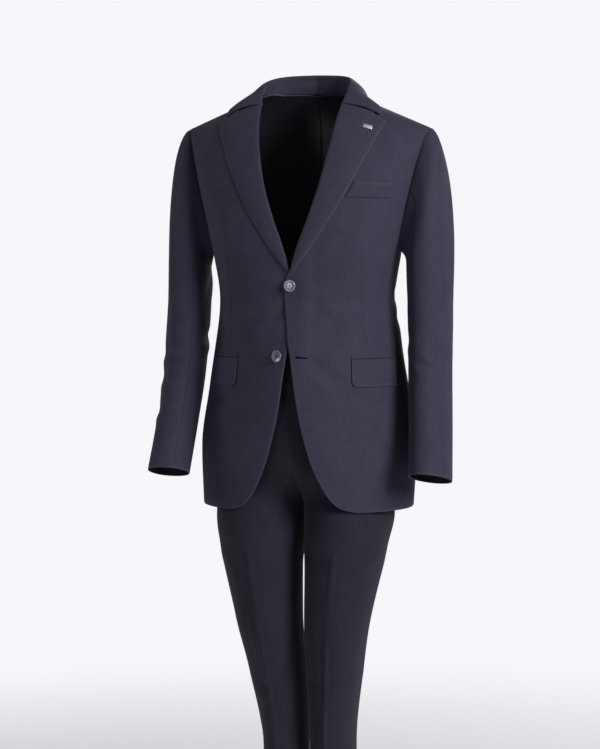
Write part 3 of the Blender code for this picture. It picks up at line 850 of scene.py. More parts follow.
# %% Strokes: which cloth, the line, width, height, lean
BOTH, LEFT, RIGHT = (False, True), (False,), (True,)
LEG_CREASE = (-1.474, -1.300, -1.100, -0.950, -0.800, -0.690)   # heights on a leg's pressed crease
STROKES = {
    "body": [
        # pulls that leave the fastened button
        (LEFT, [front(0.020, -0.330), front(0.050, -0.345), front(0.085, -0.375)], 0.010, 0.0013, 0.5),
        (LEFT, [front(0.022, -0.352), front(0.040, -0.385), front(0.050, -0.430)], 0.011, 0.0012, -0.5),
        (RIGHT, [front(0.012, -0.345), front(0.040, -0.370), front(0.062, -0.410)], 0.010, 0.0022, 0.6),
        (RIGHT, [front(0.020, -0.322), front(0.060, -0.320), front(0.095, -0.335)], 0.010, 0.0012, 0.5),
        (BOTH, [front(0.060, -0.365), front(0.100, -0.352), front(0.135, -0.352)], 0.013, -0.0015, 0.3),
        # from the open buttonhole to the pocket, and below the flap
        (LEFT, [front(0.035, -0.452), front(0.062, -0.470), front(0.092, -0.497)], 0.012, -0.0022, 0.6),
        (BOTH, [front(0.095, -0.512), front(0.125, -0.524), front(0.150, -0.534)], 0.010, -0.0024, 0.6),
        (BOTH, [front(0.070, -0.560), front(0.110, -0.585), front(0.150, -0.600)], 0.020, -0.0014, 0.4),
        (RIGHT, [front(0.058, -0.520), front(0.090, -0.540), front(0.125, -0.545)], 0.014, 0.0014, 0.5),
        # fullness of the chest beside the armhole
        (BOTH, [front(0.150, -0.200), front(0.140, -0.250), front(0.135, -0.300)], 0.016, -0.0016, 0.4),
        (BOTH, [front(0.125, -0.215), front(0.120, -0.260), front(0.112, -0.310)], 0.016, 0.0010, 0.0),
        # waist and hips at the side and the back
        (BOTH, [back(84, -0.352), back(105, -0.345), back(125, -0.352)], 0.012, -0.0022, 0.5),
        (BOTH, [back(96, -0.385), back(118, -0.372), back(140, -0.378)], 0.012, -0.0020, 0.5),
        (BOTH, [back(112, -0.325), back(135, -0.340), back(160, -0.338)], 0.013, -0.0022, 0.5),
        (BOTH, [back(128, -0.410), back(150, -0.402), back(168, -0.412)], 0.014, -0.0018, 0.5),
        (BOTH, [back(100, -0.440), back(112, -0.520), back(118, -0.610)], 0.020, -0.0018, 0.3),
        (BOTH, [back(150, -0.480), back(155, -0.560), back(152, -0.640)], 0.022, 0.0016, 0.3),
        (BOTH, [back(122, -0.290), back(128, -0.240), back(133, -0.180)], 0.016, -0.0026, 0.4),
        (BOTH, [back(150, -0.190), back(158, -0.150), back(166, -0.125)], 0.018, 0.0014, 0.3),
    ],
    "arm": [
        # the front of the sleeve, down from the cap
        (BOTH, [arm(40, 0.22), arm(36, 0.34), arm(34, 0.46)], 0.013, 0.0016, 0.4),
        (BOTH, [arm(120, 0.16), arm(112, 0.30), arm(104, 0.42)], 0.016, 0.0016, 0.4),
        # the break at the elbow
        (BOTH, [arm(5, 0.585), arm(40, 0.610), arm(72, 0.625)], 0.009, -0.0026, 0.7),
        (BOTH, [arm(-20, 0.640), arm(15, 0.655), arm(48, 0.660)], 0.009, -0.0022, 0.7),
        (BOTH, [arm(20, 0.700), arm(50, 0.690), arm(84, 0.702)], 0.011, -0.0016, 0.6),
        (LEFT, [arm(48, 0.520), arm(60, 0.640), arm(62, 0.760)], 0.011, 0.0016, 0.4),
        (RIGHT, [arm(70, 0.500), arm(76, 0.620), arm(72, 0.750)], 0.012, 0.0018, 0.4),
        (LEFT, [arm(22, 0.770), arm(42, 0.785), arm(60, 0.780)], 0.009, -0.0017, 0.6),
        (RIGHT, [arm(30, 0.805), arm(55, 0.795), arm(80, 0.806)], 0.010, -0.0017, 0.6),
        # behind and inside
        (BOTH, [arm(140, 0.590), arm(170, 0.600), arm(205, 0.592)], 0.012, -0.0024, 0.6),
        (BOTH, [arm(150, 0.660), arm(185, 0.675), arm(215, 0.668)], 0.012, -0.0022, 0.6),
        (BOTH, [arm(225, 0.560), arm(262, 0.580), arm(300, 0.575)], 0.010, -0.0022, 0.6),
        (BOTH, [arm(235, 0.330), arm(262, 0.380), arm(290, 0.450)], 0.012, -0.0020, 0.5),
        (BOTH, [arm(150, 0.800), arm(156, 0.880), arm(154, 0.950)], 0.012, 0.0012, 0.3),
    ],
    "leg": [
        # creases that are pressed down the middle of each leg, in front and behind
        (BOTH, [shank(90, z) for z in LEG_CREASE], 0.0036, 0.0034, 0.0),
        (BOTH, [shank(270, z) for z in LEG_CREASE], 0.0036, 0.0030, 0.0),
        # strides: thigh, knee and calf
        (BOTH, [shank(40, -0.775), shank(62, -0.800), shank(84, -0.812)], 0.013, -0.0022, 0.5),
        (BOTH, [shank(98, -0.790), shank(125, -0.775), shank(150, -0.770)], 0.014, -0.0018, 0.5),
        (LEFT, [shank(72, -0.860), shank(84, -0.940), shank(96, -1.020)], 0.012, -0.0024, 0.4),
        (RIGHT, [shank(108, -0.880), shank(116, -0.960), shank(112, -1.040)], 0.013, -0.0020, 0.4),
        (BOTH, [shank(50, -1.010), shank(80, -1.028), shank(108, -1.022)], 0.012, -0.0022, 0.6),
        (BOTH, [shank(228, -0.985), shank(262, -1.005), shank(305, -0.992)], 0.013, -0.0032, 0.6),
        (BOTH, [shank(235, -1.045), shank(268, -1.058), shank(298, -1.050)], 0.012, -0.0026, 0.6),
        (BOTH, [shank(215, -0.790), shank(245, -0.810), shank(275, -0.812)], 0.016, -0.0030, 0.5),
        (BOTH, [shank(290, -0.800), shank(318, -0.780), shank(340, -0.765)], 0.014, -0.0026, 0.5),
        (BOTH, [shank(150, -1.120), shank(160, -1.220), shank(158, -1.320)], 0.014, -0.0016, 0.3),
        (BOTH, [shank(60, -1.380), shank(90, -1.398), shank(122, -1.392)], 0.011, -0.0018, 0.6),
        (BOTH, [shank(240, -1.360), shank(270, -1.372), shank(305, -1.366)], 0.012, -0.0018, 0.6),
    ],
}
print({kind: len(lines) for kind, lines in STROKES.items()})

# %% Height of the creases at many points at once
SOFTER, DEEPER = 1.12, 1.45   # how much wider and higher than its stroke says a crease is laid
TROUGH_WAY = 1.8              # how far beside a ridge its trough lies, in widths
STROKE_START, STROKE_RUN, STROKE_FALL = 0.08, 0.84, 0.7     # how a stroke rises and dies along its line


def stroke_height(points, outward, line, width, height, lean):
    """How far one stroke lifts each point of a cloth."""
    nearest = np.full(len(points), np.inf)
    lift = np.zeros(len(points))
    for step, (start, end) in enumerate(zip(line, line[1:])):
        along = np.array(end - start)
        span = np.linalg.norm(along)
        along /= span
        offset = points - np.array(start)
        run = offset @ along
        beyond = np.maximum(-run, 0) + np.maximum(run - span, 0)
        side = np.einsum("ij,ij->i", np.cross(along, outward), offset)
        away = np.linalg.norm(offset - np.outer(np.clip(run, 0, span), along), axis=1)
        part = (step + np.clip(run / span, 0, 1)) / (len(line) - 1)
        ridge = np.exp(-(away / width) ** 2)
        beside = np.exp(-(side / width - TROUGH_WAY) ** 2 - (beyond / width) ** 2)
        beside *= np.exp(-((away / width - TROUGH_WAY).clip(0)) ** 2)
        shape = ridge - lean * beside
        shape *= np.sin(math.pi * (STROKE_START + STROKE_RUN * part)) ** STROKE_FALL
        closer = away < nearest
        nearest[closer] = away[closer]
        lift[closer] = shape[closer] * height
    return lift


def crease_height(points, outward, kind, mirrored):
    """How far all the strokes of one kind lift each point of a cloth."""
    total = np.zeros(len(points))
    for sides, line, width, height, lean in STROKES[kind]:
        if mirrored in sides:
            total += stroke_height(points, outward, line, width * SOFTER, height * DEEPER, lean)
    return total


print("creases ready")

# %% [markdown]
# ## Cutting and pressing a piece
# Every cut piece is made the same way. A grid is laid out flat, with close rows along its edges.
# Each of its points moves to the form, then out along the cloth's own normal by the piece's lift,
# the creases and the drop of a pressed edge. A Solidify modifier gives the wall, with the lining on
# its inner face. Laying a grid on the form keeps even quads, which a cut from a solid would not.

# %% Rows of a grid
WALL = 0.002
PRESS_WAY, PRESS_DROP = (0.0, 0.0008, 0.0024), (-0.0008, -0.00022, 0.0)
CELL = 0.0048             # the size of a quad away from the edges
SEAM_FADE = 0.018         # the way in which creases die out towards a seam
# The paler band near an open edge is a painted highlight on the pressed edge.
EDGE_HIGHLIGHT_BAND = 0.0045     # how far in from an open edge the cloth is paler
FACING = 0.080            # the wool facing behind a front edge, before the lining starts


def places(length):
    """Places from 0 to 1 along a length: even, with close ones where the edge is pressed."""
    near, inner = PRESS_WAY[1] / length, PRESS_WAY[2] / length
    count = max(2, round(length / CELL))
    even = [inner + (1 - 2 * inner) * step / count for step in range(count + 1)]
    return [0.0, near, *even, 1 - near, 1.0]


def edge_drop(away):
    """Height of a pressed edge at a way in from it."""
    return float(np.interp(away, PRESS_WAY, PRESS_DROP))

# %% [markdown]
# A dart is a seam inside a panel: a narrow fold taken up and sewn, which shows as a fine groove.
# The grid is cut along it by three planes, and the line of points in the middle is pressed in.

# %% Darts
DART_HALF, DART_DEPTH = 0.0009, 0.0010
DART_ROOM = 3 * CELL      # how far from the line faces are cut
DART_END = 0.02           # the way in which it dies out at its ends


def sew_dart(mesh, line):
    """Press a fine groove into the cloth along a line that runs downwards."""
    for start, end in zip(line, line[1:]):
        along = (end - start).normalized()
        across = along.cross(Vector((0, 1, 0))).normalized()
        low, high = min(start.z, end.z), max(start.z, end.z)

        def near(point):
            return low <= point.z <= high and abs((point - start).dot(across)) < DART_ROOM

        for shift in (-DART_HALF, 0.0, DART_HALF):
            faces = [face for face in mesh.faces if near(face.calc_center_median())]
            parts = set(faces)
            for face in faces:
                parts.update(face.edges)
                parts.update(face.verts)
            bmesh.ops.bisect_plane(mesh, geom=list(parts), dist=1e-5, plane_co=start + across * shift,
                                   plane_no=across)
        mesh.normal_update()
        for vertex in mesh.verts:
            if near(vertex.co) and abs((vertex.co - start).dot(across)) < DART_HALF / 4:
                ends = min(vertex.co.z - line[-1].z, line[0].z - vertex.co.z)
                vertex.co -= vertex.normal * DART_DEPTH * ease(ends / DART_END)


print("tailoring ready")

# %% From a grid to a piece of cloth
RUN_STEPS = 24            # chords that measure a line of a surface
SEAM_STILL = 0.002        # the way in from a seam that creases leave still


def run_of(surface, fixed, across):
    """Length of a surface's line at a fixed u or v."""
    shares = [step / RUN_STEPS for step in range(RUN_STEPS + 1)]
    steps = [surface(share, fixed) if across else surface(fixed, share) for share in shares]
    return sum((b - a).length for a, b in zip(steps, steps[1:]))


def cut_size(surface):
    """Greatest width and length of a surface."""
    width = max(run_of(surface, v, True) for v in (0.02, 0.3, 0.5, 0.7, 0.98))
    return width, max(run_of(surface, u, False) for u in (0.02, 0.5, 0.98))


def laid_out(across, along):
    """A flat grid with the given places, its points numbered by column and row."""
    mesh = bmesh.new()
    bmesh.ops.create_grid(mesh, x_segments=len(across) - 1, y_segments=len(along) - 1, size=0.5)
    mesh.loops.layers.uv.new("cloth")
    # The pressed attribute marks the band that the wool paints paler, as a painted highlight.
    mesh.verts.layers.float.new("pressed")
    spots = {}
    for vertex in mesh.verts:
        column = round((vertex.co.x + 0.5) * (len(across) - 1))
        row = round((vertex.co.y + 0.5) * (len(along) - 1))
        spots[vertex] = (column, row)
    return mesh, spots


def chart(mesh, spots):
    """UV map in metres along the threads: straight up the middle column, level along each row."""
    columns = 1 + max(column for column, _ in spots.values())
    rows = 1 + max(row for _, row in spots.values())
    grid = np.zeros((columns, rows, 3))
    for vertex, (column, row) in spots.items():
        grid[column, row] = vertex.co
    middle = columns // 2
    across = np.zeros((columns, rows))
    across[1:] = np.cumsum(np.linalg.norm(np.diff(grid, axis=0), axis=2), axis=0)
    across -= across[middle]
    up = np.zeros(rows)
    up[1:] = np.cumsum(np.linalg.norm(np.diff(grid[middle], axis=0), axis=1))
    layer = mesh.loops.layers.uv["cloth"]
    for face in mesh.faces:
        for loop in face.loops:
            column, row = spots[loop.vert]
            loop[layer].uv = (across[column, row], up[row])
    width = float(np.ptp(across, axis=0).max())
    length = float(np.linalg.norm(np.diff(grid, axis=1), axis=2).sum(axis=1).max())
    return width, length


def settle(mesh, lift, kind, mirrored, ways, open_edges, fades):
    """Move every point out along the cloth's normal, and note where an edge is pressed."""
    mesh.normal_update()
    verts = list(mesh.verts)
    points = np.array([v.co for v in verts])
    outward = np.array([v.normal for v in verts])
    creases = crease_height(points, outward, kind, mirrored) if kind else np.zeros(len(verts))
    pressed = mesh.verts.layers.float["pressed"]
    for vertex, crease in zip(verts, creases):
        left, right, low, high = ways[vertex]
        fade = ease((min(high, left, right) - SEAM_STILL) / SEAM_FADE) if fades else 1.0
        height = lift(vertex.co) + crease * fade + edge_drop(min(left, right, low, high))
        nearest = min((way for way, is_open in zip(ways[vertex], open_edges) if is_open), default=1.0)
        # How much painted highlight this point's pressed edge gets.
        vertex[pressed] = ease(1 - nearest / EDGE_HIGHLIGHT_BAND)
        vertex.co += vertex.normal * height


def finish_piece(node, mesh, materials, wall=0.0):
    """Make the mesh an object that rides on the model and stands for its plain node."""
    name = f"{node}_cloth"
    data = bpy.data.meshes.new(name)
    mesh.to_mesh(data)
    mesh.free()
    for material in materials:
        data.materials.append(material)
    data.shade_smooth()
    piece = bpy.data.objects.new(name, data)
    bpy.context.scene.collection.objects.link(piece)
    if wall:
        thick = piece.modifiers.new("wall", "SOLIDIFY")
        thick.thickness, thick.offset, thick.use_even_offset = wall, -1.0, False
        thick.material_offset = 1
    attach(piece, "root")
    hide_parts(node)
    return piece


def complete(node, mesh, mirrored, cut, wall, outside, inside):
    """Turn the laid mesh to its side, give it its wall and print its cut size and area."""
    if mirrored:
        bmesh.ops.scale(mesh, vec=(-1, 1, 1), verts=mesh.verts)
        bmesh.ops.reverse_faces(mesh, faces=mesh.faces)
    area = sum(face.calc_area() for face in mesh.faces)
    outside, inside = outside or jacket_wool, inside or dark_lining
    piece = finish_piece(node, mesh, [outside, inside, outside, outside], wall)
    print(f"{piece.name}: {cut[0]:.3f} x {cut[1]:.3f} m, area {area:.4f} m2")
    return piece


def tailor(node, surface, mirrored=False, kind=None, lift=0.0, wall=WALL, outside=None, inside=None,
           open_edges=(False, False, False, False), fades=True, seams=(), facing_wide=0.0):
    """Lay a fine piece on a surface(u, v) with left, right, lower and upper edges."""
    width, length = cut_size(surface)
    across, along = places(width), places(length)
    mesh, spots = laid_out(across, along)
    widths = [run_of(surface, v, True) for v in along]
    lengths = [run_of(surface, u, False) for u in across]
    ways = {}
    for vertex, (column, row) in spots.items():
        u, v = across[column], along[row]
        vertex.co = surface(u, v)
        ways[vertex] = (u * widths[row], (1 - u) * widths[row],
                        v * lengths[column], (1 - v) * lengths[column])
    cut = chart(mesh, spots)
    for face in mesh.faces:
        face.material_index = 2 if max(ways[v][0] for v in face.verts) < facing_wide else 0
    settle(mesh, lift if callable(lift) else lambda point: lift, kind, mirrored, ways, open_edges, fades)
    for line in seams:
        sew_dart(mesh, line)
    return complete(node, mesh, mirrored, cut, wall, outside, inside)

# %% [markdown]
# ## The jacket
# Fronts, sides and backs, each with its creases. The left front stands forward where it laps over
# the right one. The front edge and the hem are pressed edges, and the others are seams. The jet, a
# narrow strip that binds the pocket's upper edge, is made first, because it belongs to the front.

# %% Jacket body
DART = [front(0.1180, -0.268), front(0.1140, -0.350), front(0.1190, -0.440)]
FRONT_LIFT = {False: lap, True: 0.0}
POCKET_WALL, JET_LIFT = 0.0014, 0.0016

for mirrored, side in ((False, "left"), (True, "right")):
    jet = tailor(f"pocket_jet_{side}", laid_on(JET), mirrored, "body", JET_LIFT, POCKET_WALL, fades=False)
    tailor(f"jacket_front_{side}", front_panel(), mirrored, "body", FRONT_LIFT[mirrored],
           open_edges=(True, False, True, False), seams=[DART], facing_wide=FACING)
    tailor(f"jacket_side_{side}", side_panel(), mirrored, "body", open_edges=(False, False, True, False))
    tailor(f"jacket_back_{side}", back_panel(), mirrored, "body", open_edges=(False, False, True, True))

# %% [markdown]
# A sleeve is set into its armhole: the last of its edge turns in and under, so that the seam shows
# as a fine step and no light passes between the two pieces.

# %% Sleeves
# The last share of a sleeve that is set in, and how far in and under it goes.
SET_SHARE, SET_IN, SET_SINK = 0.012, 0.006, 0.003


def facing(surface, u, v, step=0.002):
    """The way out from a surface whose u runs to the left of whoever looks at it from inside."""
    across = surface(u + step, v) - surface(u - step, v)
    along = surface(u, v + step) - surface(u, v - step)
    return across.cross(along).normalized()


def torso_by_share(share, level):
    return torso(share * 180, level)


def set_in(surface):
    """The sleeve, its cap's edge carried on a little way under the edge of the armhole."""
    def inner(u, v):
        point = surface(u, v)
        into = ease((v - 1 + SET_SHARE) / SET_SHARE)
        if not into:
            return point
        along = (surface(u, 1.0) - surface(u, 1 - SET_SHARE)).normalized()
        return point + (along * SET_IN - facing(surface, u, 1 - SET_SHARE) * SET_SINK) * into
    return inner


for mirrored, side in ((False, "left"), (True, "right")):
    for half, turns in (("upper", (UPPER_SEAM, UNDER_SEAM)), ("under", (UNDER_SEAM, 360 + UPPER_SEAM))):
        tailor(f"sleeve_{half}_{side}", set_in(sleeve(*turns)), mirrored, "arm",
               open_edges=(False, False, True, False))

# %% [markdown]
# ## Lapels and collar
# A lapel is the front itself, rolled back on a line. Here it is a piece of its own, so its inner
# end is curled round the front's edge in a soft roll, which hides the join and catches the light.
# The collar's leaf rolls over its stand in the same way.

# %% Rolled pieces
# A roll's section: way out from the fold, and height above the cloth that it lies on.
ROLL = [(0.0050, -0.0046), (0.0024, -0.0044), (0.0002, -0.0036), (-0.0012, -0.0023), (-0.0018, -0.0007),
        (-0.0015, 0.0008), (-0.0005, 0.0020), (0.0012, 0.0028), (0.0038, 0.0033)]
ROLL_ROOM = 0.020         # the width that the whole roll needs
BELLY = 0.0014            # how far a rolled piece stands off in its middle
ROLL_WALL, ROLL_EDGE = 0.0016, 0.0024     # a rolled piece's thickness, and its outer edge's height
# The lapel's top: where its tuck starts, how much it rises on the body and how deep it goes.
TUCK_START, TUCK_LEVEL, TUCK_SINK = 0.90, 0.050, 0.0012
NOTCH_SHARE, TUCK_FADE = 0.60, 0.10       # the tuck ends at the notch, in this share of the width


def tuck(u, v):
    """How far a place on the lapel lies under the collar, from 0 to 1."""
    return ease((v - TUCK_START) / (1 - TUCK_START)) * (1 - ease((u - NOTCH_SHARE) / TUCK_FADE))


def tucked_lapel():
    """The lapel, its top edge carried on under the collar's leaf as far as the notch."""
    lies = lapel()
    roll = lengthwise([front_place(*point) for point in LAPEL_ROLL])
    edge = lengthwise([front_place(*point) for point in LAPEL_EDGE])

    def surface(u, v):
        under = tuck(u, v)
        if not under:
            return lies(u, v)
        angle, level = mix(smooth(roll, v), smooth(edge, v), u)
        return torso(angle, level + TUCK_LEVEL * under)
    return surface


def roll_over(node, surface, mirrored, lift, sinks=False):
    """Lay a piece that starts behind the surface's u = 0 line and rolls over it."""
    width, length = cut_size(surface)
    flat_part, along = places(width)[2:], places(length)
    mesh, spots = laid_out(ROLL[:-1] + flat_part, along)
    pressed = mesh.verts.layers.float["pressed"]
    widths = [run_of(surface, v, True) for v in along]
    for vertex, (column, row) in spots.items():
        v, wide = along[row], widths[row]
        scale = min(1.0, wide / ROLL_ROOM)
        way, height = ROLL[min(column, len(ROLL) - 1)]
        way *= scale
        edge_way = 1.0
        if column >= len(ROLL) - 1:
            share = flat_part[column - len(ROLL) + 1]
            share = (share - flat_part[0]) / (1 - flat_part[0])
            way += (wide - way) * share
            height += (ROLL_EDGE - height) * share + BELLY * math.sin(math.pi * share) * scale
            edge_way = min(wide - way, (1 - v) * length)
            height += edge_drop(edge_way)
        if sinks:
            height -= TUCK_SINK * tuck(way / wide, v)
        point = surface(way / wide, v)
        outward = facing(surface, way / wide, v)
        vertex.co = point + outward * (height + lift(point))
        # How much painted highlight the pressed outer edge gets here.
        vertex[pressed] = ease(1 - edge_way / EDGE_HIGHLIGHT_BAND)
    cut = chart(mesh, spots)
    return complete(node, mesh, mirrored, cut, ROLL_WALL, jacket_wool, jacket_wool)


print("a roll has", len(ROLL), "rows")

# %% Lapels and collar
STAND_WALL = 0.0018
COLLAR_SINK = -ROLL[-1][1]


def no_lift(point):
    return 0.0


for mirrored, side in ((False, "left"), (True, "right")):
    roll_over(f"lapel_{side}", tucked_lapel(), mirrored, no_lift if mirrored else lap,
              sinks=True)

roll_over("collar_leaf", round_the_neck(COLLAR_FOLD, COLLAR_EDGE, COLLAR_CROWN), False,
          lambda point: COLLAR_SINK)
stand_top = [(share, x * STAND_SHARE, y * STAND_SHARE, z - STAND_DROP)
             for share, x, y, z in COLLAR_FOLD]
tailor("collar_stand", round_the_neck(stand_top, COLLAR_SEAM, 0.0), wall=STAND_WALL, inside=jacket_wool)

# %% [markdown]
# ## Pockets
# A welt, a jet and a flap are small folded strips. They lie on the front and follow its creases,
# so each takes the front's own form and stands off it by its thickness.

# %% Pockets
WELT_LIFT, FLAP_LIFT = 0.0020, 0.0027

for mirrored, side in ((False, "left"), (True, "right")):
    tailor(f"pocket_flap_{side}", laid_on(FLAP, FLAP_CORNER), mirrored, "body", FLAP_LIFT, POCKET_WALL,
           open_edges=(True, True, True, False), fades=False)
tailor("breast_welt", laid_on(WELT), False, "body", WELT_LIFT, POCKET_WALL,
       open_edges=(False, False, False, True), fades=False)

# %% [markdown]
# ## Trousers
# Each leg is a front and a back, with a sharp crease pressed down the middle of both, and the
# waistband goes round the top. The fly is only the line that sews it down, on the left front.

# %% Trousers
FLY = [shank(35.5, -0.492), shank(33.0, -0.600), shank(22.0, -0.645), shank(6.0, -0.668)]

# Legs and waistband take the trouser wool, whose darker colour is painted shade.
for mirrored, side in ((False, "left"), (True, "right")):
    for half, turns in (("front", (0, 180)), ("back", (180, 360))):
        fly = [FLY] if (half, side) == ("front", "left") else []
        tailor(f"trouser_{half}_{side}", leg(*turns), mirrored, "leg", outside=shaded_trouser_wool,
               open_edges=(False, False, True, False), seams=fly)
tailor("waistband", waistband, outside=shaded_trouser_wool, open_edges=(False, False, False, True))

# %% [markdown]
# ## Buttons and pin
# A button is turned on a lathe: a dished face inside a raised rim, and a rounded back. Its outline
# is spun round its axis. Four holes are drilled through with a Boolean, which is applied at once,
# and two crossed strands of thread hold it.

# %% Set a small piece on the front
def seat(place, lift, tilt=0.0):
    """The matrix that stands a small piece on the front at x and z, facing out."""
    x, z = place
    side = -1 if x < 0 else 1
    angle, level = front_place(abs(x), z)
    point, outward = torso(angle, level), facing(torso_by_share, angle / 180, level)
    point.x, outward.x = side * point.x, side * outward.x
    outward.rotate(Euler((0, 0, -tilt)))
    turn = outward.to_track_quat("Z", "Y").to_matrix().to_4x4()
    return Matrix.Translation(point + outward * lift) @ turn

# %% Turned buttons
# Half section from the middle of the back round the rim to the middle of the face: radius, height,
# both as shares of the button's radius.
BUTTON_SECTION = [(0.0, 0.0), (0.62, 0.0), (0.86, 0.05), (0.97, 0.12), (1.0, 0.19), (0.975, 0.26),
                  (0.90, 0.295), (0.80, 0.285), (0.72, 0.245), (0.62, 0.205), (0.45, 0.185),
                  (0.22, 0.178), (0.0, 0.176)]
BUTTON_TURNS = 48
HOLE_RADIUS, HOLE_WAY = 0.00105, 0.0025   # a hole's radius, and its way from the middle
STRAND, ARCH_SHARE = 0.00075, 0.30        # a thread's radius, and how flat its arch is
SHARP = math.radians(50)                  # edges that turn more than this are shaded sharp


def turned_button():
    """The section spun round the button's axis."""
    mesh = bmesh.new()
    line = [mesh.verts.new((radius * BUTTON_RADIUS, 0, height * BUTTON_RADIUS))
            for radius, height in BUTTON_SECTION]
    edges = [mesh.edges.new(pair) for pair in zip(line, line[1:])]
    bmesh.ops.spin(mesh, geom=line + edges, cent=(0, 0, 0), axis=(0, 0, 1), angle=2 * math.pi,
                   steps=BUTTON_TURNS, use_merge=True)
    bmesh.ops.remove_doubles(mesh, verts=mesh.verts, dist=1e-6)
    bmesh.ops.recalc_face_normals(mesh, faces=mesh.faces)
    return mesh


def drill():
    """Four long pegs that stand where the holes go."""
    mesh = bmesh.new()
    for quarter in range(4):
        made = bmesh.ops.create_cone(mesh, cap_ends=True, segments=16, radius1=HOLE_RADIUS,
                                     radius2=HOLE_RADIUS, depth=4 * HOLE_WAY)
        angle = math.pi / 2 * quarter
        bmesh.ops.translate(mesh, vec=(HOLE_WAY * math.cos(angle), HOLE_WAY * math.sin(angle), 0),
                            verts=made["verts"])
    return mesh


def drilled(name):
    """A turned button's mesh with its four holes cut."""
    pieces = []
    for label, mesh in ((name, turned_button()), ("drill", drill())):
        data = bpy.data.meshes.new(label)
        mesh.to_mesh(data)
        mesh.free()
        pieces.append(bpy.data.objects.new(label, data))
        bpy.context.scene.collection.objects.link(pieces[-1])
    blank, cutter = pieces
    cut = blank.modifiers.new("holes", "BOOLEAN")
    cut.operation, cut.solver, cut.object = "DIFFERENCE", "EXACT", cutter
    shape = bpy.data.meshes.new_from_object(blank.evaluated_get(bpy.context.evaluated_depsgraph_get()))
    mesh = bmesh.new()
    mesh.from_mesh(shape)
    for piece in pieces:
        data = piece.data
        bpy.data.objects.remove(piece, do_unlink=True)
        bpy.data.meshes.remove(data)
    bpy.data.meshes.remove(shape)
    return mesh


def strands():
    """Two crossed strands over the middle, each an arch from one hole to the opposite one."""
    mesh = bmesh.new()
    for quarter in range(2):
        ring = bmesh.ops.create_circle(mesh, segments=8, radius=STRAND)["verts"]
        bmesh.ops.translate(mesh, vec=(HOLE_WAY, 0, 0), verts=ring)
        edges = list({edge for vertex in ring for edge in vertex.link_edges})
        before = set(mesh.verts) - set(ring)
        bmesh.ops.spin(mesh, geom=ring + edges, cent=(0, 0, 0), axis=(0, -1, 0), angle=math.pi, steps=10)
        arch = list(set(mesh.verts) - before)
        bmesh.ops.scale(mesh, vec=(1, 1, ARCH_SHARE), verts=arch)
        turn = Matrix.Rotation(math.pi / 2 * quarter, 4, "Z")
        bmesh.ops.transform(mesh, matrix=turn, verts=arch)
    bmesh.ops.recalc_face_normals(mesh, faces=mesh.faces)
    bmesh.ops.translate(mesh, vec=(0, 0, BUTTON_SECTION[-1][1] * BUTTON_RADIUS - STRAND), verts=mesh.verts)
    return mesh


def small_piece(name, mesh, material):
    """A piece that is sewn or pinned on, and stands for no node of its own."""
    data = bpy.data.meshes.new(name)
    mesh.to_mesh(data)
    mesh.free()
    data.materials.append(material)
    data.shade_smooth()
    data.set_sharp_from_angle(angle=SHARP)
    piece = bpy.data.objects.new(name, data)
    bpy.context.scene.collection.objects.link(piece)
    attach(piece, "root")
    return piece


def place_button(node, place, lift, tilt=0.0):
    """Put a drilled button on the front, with its thread."""
    where = seat(place, lift, tilt)
    shape = drilled(node)
    bmesh.ops.transform(shape, matrix=where, verts=shape.verts)
    piece = finish_piece(node, shape, [dark_horn])
    piece.name = f"{node}_turned"
    piece.data.set_sharp_from_angle(angle=SHARP)
    sewn = strands()
    bmesh.ops.transform(sewn, matrix=where, verts=sewn.verts)
    thread_piece = small_piece(f"{node}_thread", sewn, sewing_thread)
    print(piece.name, len(piece.data.polygons), "faces;", thread_piece.name)

# %% Buttons in their places
BUTTON_LIFT = 0.0006      # clear of the cloth, beyond the lap
place_button("button_top", TOP_BUTTON, LAP + BUTTON_LIFT)
place_button("button_lower", LOWER_BUTTON, LOWER_LIFT, LOWER_TILT)

# %% [markdown]
# ## Buttonholes
# A tailor's buttonhole is a slit with a rim of close stitches and a round eye at the button's end.
# A small disc is inset into a rim and a middle; the rim is raised, the middle is sunk, and its
# points are stretched along the slit. Flat stitches as a texture would be lost at this size.

# %% Buttonholes
HOLE_LENGTH, HOLE_HALF, HOLE_RISE, EYE = 0.0185, 0.0009, 0.0005, 2.1
HOLE_SLOPE, HOLE_LIFT = 0.08, 0.0004
BUTTONHOLES = {"buttonhole_top": (0.0150, -0.3262), "buttonhole_lower": (0.0235, -0.4478)}


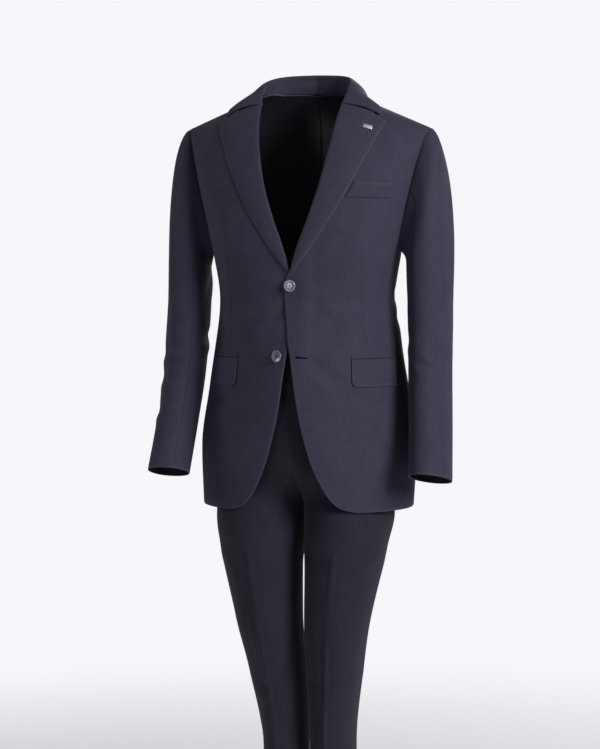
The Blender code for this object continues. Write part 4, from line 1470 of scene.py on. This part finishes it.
def buttonhole(name, place):
    """A raised rim round a sunk slit, laid on the left front."""
    mesh = bmesh.new()
    bmesh.ops.create_circle(mesh, cap_ends=True, segments=48, radius=HOLE_HALF)
    middle = mesh.faces[:]
    for thickness, depth in ((0.00022, 0.0), (0.00035, HOLE_RISE), (0.00015, -HOLE_RISE)):
        bmesh.ops.inset_region(mesh, faces=middle, thickness=thickness, depth=depth)
    for vertex in mesh.verts:
        eye = EYE if vertex.co.x < 0 else 1.0
        vertex.co = Vector((vertex.co.x * eye + math.copysign(HOLE_LENGTH / 2 - HOLE_HALF, vertex.co.x),
                            vertex.co.y * eye, vertex.co.z))
    for vertex in mesh.verts:
        x, z = place[0] + vertex.co.x, place[1] + vertex.co.y - vertex.co.x * HOLE_SLOPE
        angle, level = front_place(x, z)
        outward = facing(torso_by_share, angle / 180, level)
        point = torso(angle, level)
        vertex.co = point + outward * (vertex.co.z + lap(point) + HOLE_LIFT)
    # The whole buttonhole takes the almost black thread: thread on its rim, and painted shade for the slit.
    piece = small_piece(name, mesh, buttonhole_thread_and_slit_shade)
    print(piece.name, len(piece.data.polygons), "faces")


for hole_name, hole_place in BUTTONHOLES.items():
    buttonhole(hole_name, hole_place)

# %% [markdown]
# ## Pin
# A short bar with rounded edges, pinned near the lapel's notch.

# %% Bar pin
PIN_ROUND, PIN_LIFT = 0.0006, 0.0052


def bar_pin():
    mesh = bmesh.new()
    bmesh.ops.create_cube(mesh, size=1.0)
    bmesh.ops.scale(mesh, vec=PIN_SIZE, verts=mesh.verts)
    bmesh.ops.bevel(mesh, geom=mesh.edges[:], offset=PIN_ROUND, segments=3, profile=0.5, affect="EDGES",
                    material=-1)
    bmesh.ops.rotate(mesh, matrix=Matrix.Rotation(PIN_SLANT, 3, "Z"), verts=mesh.verts)
    bmesh.ops.transform(mesh, matrix=seat(PIN, PIN_LIFT), verts=mesh.verts)
    piece = finish_piece("lapel_pin", mesh, [pin_steel])
    piece.name = "lapel_pin_bar"
    piece.data.set_sharp_from_angle(angle=SHARP)
    print(piece.name, len(piece.data.polygons), "faces")


bar_pin()
